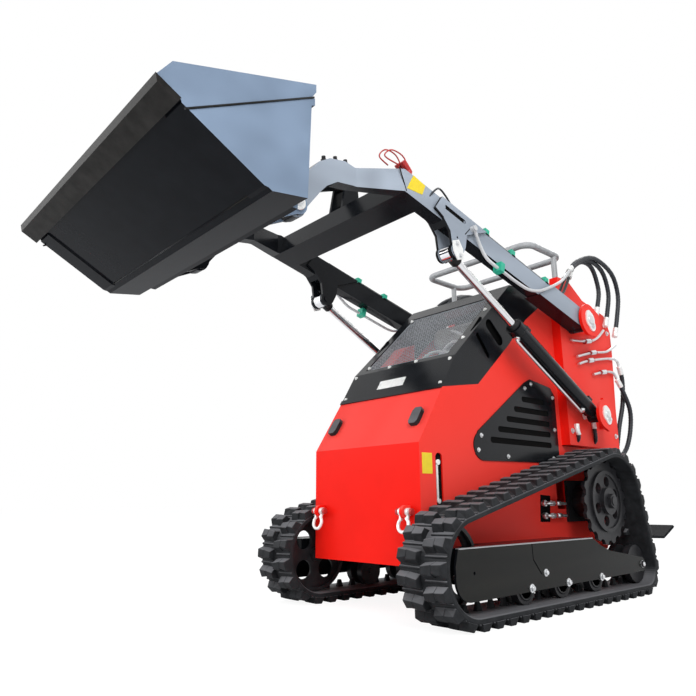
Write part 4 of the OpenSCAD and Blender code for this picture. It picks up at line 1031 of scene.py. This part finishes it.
def bucket_details():
    """Weld beads on the bucket's sides and underside."""
    way = (LIP - HEEL).normalized()

    def under(x, s):
        """A place on the underside, s from the heel towards the lip."""
        return at(x, *(HEEL + way * s))

    beads = Build()
    for x in (-0.4955, 0.4955):
        beads.tube([at(x, -1.446, 1.191), at(x, -1.091, 1.385)], 0.0028)
    for x in (-0.419, 0.419):
        beads.tube([under(x, 0.02), under(x, 0.275)], 0.0026)
    beads.tube([under(-0.418, 0.022), under(0.418, 0.022)], 0.0022)
    for k in range(9):
        x = -0.40 + 0.1 * k
        beads.tube([under(x - 0.018, 0.2815), under(x + 0.018, 0.2815)], 0.003)
    # The beads take the frame's black, with its painted reflection on faces that point outwards.
    beads.object("bucket_beads", "gloss_black", "bucket", own=FRAME_BLACK_PAINTED_REFLECTION)


# Rollers of the track: Y of each, and the height of all of them.
ROLLER_Y = (-0.142, 0.080, 0.310)
ROLLER_Z = 0.0922


def track_details():
    bolts, rings = Build(), Build()
    for y, z in (*((y, ROLLER_Z) for y in ROLLER_Y), REAR[0]):
        bolts.bolt(at(0.4265, y, z), ACROSS, 0.009)
    bolts.bolt(at(0.4260, -0.055, 0.133), ACROSS, 0.008)
    for y in ROLLER_Y:
        rings.lathe(at(0.403, y, ROLLER_Z), ACROSS,
                    [(0, 0.040), (0.003, 0.040), (0.003, 0.033), (0.0, 0.033)], 32)
    bolts.mirrored()
    rings.mirrored()
    bolts.object("frame_bolts", "zinc")
    rings.object("roller_rings", "dark_iron")
    # Painted highlight: a grey strip along the top of the frame stands in for the light on its
    # bent edge.
    flange = Build()
    flange.block([at(x, y, z) for z in (0.2265, 0.2300) for x, y in
                  ((0.414, -0.498), (0.427, -0.498), (0.427, 0.270), (0.414, 0.270))])
    flange.mirrored()
    flange.object("frame_edge_highlight", "rail_grey", edge=0.001)


# World, floor and lamps
SKY = (0.93, 0.96, 1.0, 1)
SKY_STRENGTH = 0.55
FLOOR_SIZE = 60
FLOOR_COLOR = (0.92, 0.92, 0.92, 1)
# The floor's glow, and the share of it in what the camera sees.
GLOW_STRENGTH, GLOW_SHARE = 1.13, 0.8


def light_world():
    """A white backdrop for what is seen, mirrored or seen through; a softer sky for the rest."""
    world = bpy.data.worlds.new("world")
    scene.world = world
    world.use_nodes = True
    nodes, links = world.node_tree.nodes, world.node_tree.links
    nodes.clear()
    out = nodes.new("ShaderNodeOutputWorld")
    seen = nodes.new("ShaderNodeBackground")
    seen.inputs["Color"].default_value = (1, 1, 1, 1)
    seen.inputs["Strength"].default_value = 1.0
    lit = nodes.new("ShaderNodeBackground")
    lit.inputs["Color"].default_value = SKY
    lit.inputs["Strength"].default_value = SKY_STRENGTH
    path = nodes.new("ShaderNodeLightPath")
    either = nodes.new("ShaderNodeMath")
    either.operation = "MAXIMUM"
    third = nodes.new("ShaderNodeMath")
    third.operation = "MAXIMUM"
    links.new(path.outputs["Is Camera Ray"], either.inputs[0])
    links.new(path.outputs["Is Glossy Ray"], either.inputs[1])
    links.new(either.outputs[0], third.inputs[0])
    links.new(path.outputs["Is Transmission Ray"], third.inputs[1])
    mix = nodes.new("ShaderNodeMixShader")
    links.new(third.outputs[0], mix.inputs[0])
    links.new(lit.outputs[0], mix.inputs[1])
    links.new(seen.outputs[0], mix.inputs[2])
    links.new(mix.outputs[0], out.inputs["Surface"])


def lamp(name, place, aim, size, watts):
    data = bpy.data.lights.new(name, "AREA")
    data.shape = "SQUARE"
    data.size = size
    data.energy = watts
    obj = bpy.data.objects.new(name, data)
    scene.collection.objects.link(obj)
    obj.location = place
    obj.rotation_euler = (Vector(aim) - Vector(place)).to_track_quat("-Z", "Y").to_euler()


def make_floor():
    bpy.ops.mesh.primitive_plane_add(size=FLOOR_SIZE, location=(0, 0, 0))
    floor = bpy.context.active_object
    floor.name = "floor"
    m, nodes, links = node_tree("floor")
    shader = nodes["Principled BSDF"]
    shader.inputs["Base Color"].default_value = FLOOR_COLOR
    shader.inputs["Roughness"].default_value = 0.9
    shader.inputs["Specular IOR Level"].default_value = 0.0
    glow = nodes.new("ShaderNodeEmission")
    glow.inputs["Strength"].default_value = GLOW_STRENGTH
    path = nodes.new("ShaderNodeLightPath")
    share = nodes.new("ShaderNodeMath")
    share.operation = "MULTIPLY"
    share.inputs[1].default_value = GLOW_SHARE
    links.new(path.outputs["Is Camera Ray"], share.inputs[0])
    mix = nodes.new("ShaderNodeMixShader")
    links.new(share.outputs[0], mix.inputs[0])
    links.new(shader.outputs[0], mix.inputs[1])
    links.new(glow.outputs[0], mix.inputs[2])
    links.new(mix.outputs[0], nodes["Material Output"].inputs["Surface"])
    floor.data.materials.append(m)


# CAD nodes that a finer piece replaces keep their edges as they are.
REPLACED = ("hood_mesh", "arm_hoses", "chassis_hoses", "track_left", "track_right")
CAD_EDGE = 0.0012

scene.view_settings.view_transform = "Standard"
make_camera()
light_world()
lamp("key", (4.2, -3.2, 4.5), (0, 0, 0.7), 3.5, 260)
lamp("fill", (-3.8, -4.0, 2.6), (0, 0, 0.7), 3.5, 120)
lamp("back", (-1.5, 5.0, 4.5), (0, 0, 0.8), 4.0, 140)
make_floor()
dress_cad()
for track_side, track_word in reversed(SIDES):
    make_track(track_side, track_word)
mesh_window()
hood_details()
painted_shade_openings()
body_bolts()
side_details()
drive_fittings()
standing_place()
pin_details()
cylinder_details()
hose_details()
arm_details()
bucket_details()
track_details()
for part_name in NODES:
    if part_name not in REPLACED:
        soften(NODES[part_name], CAD_EDGE)
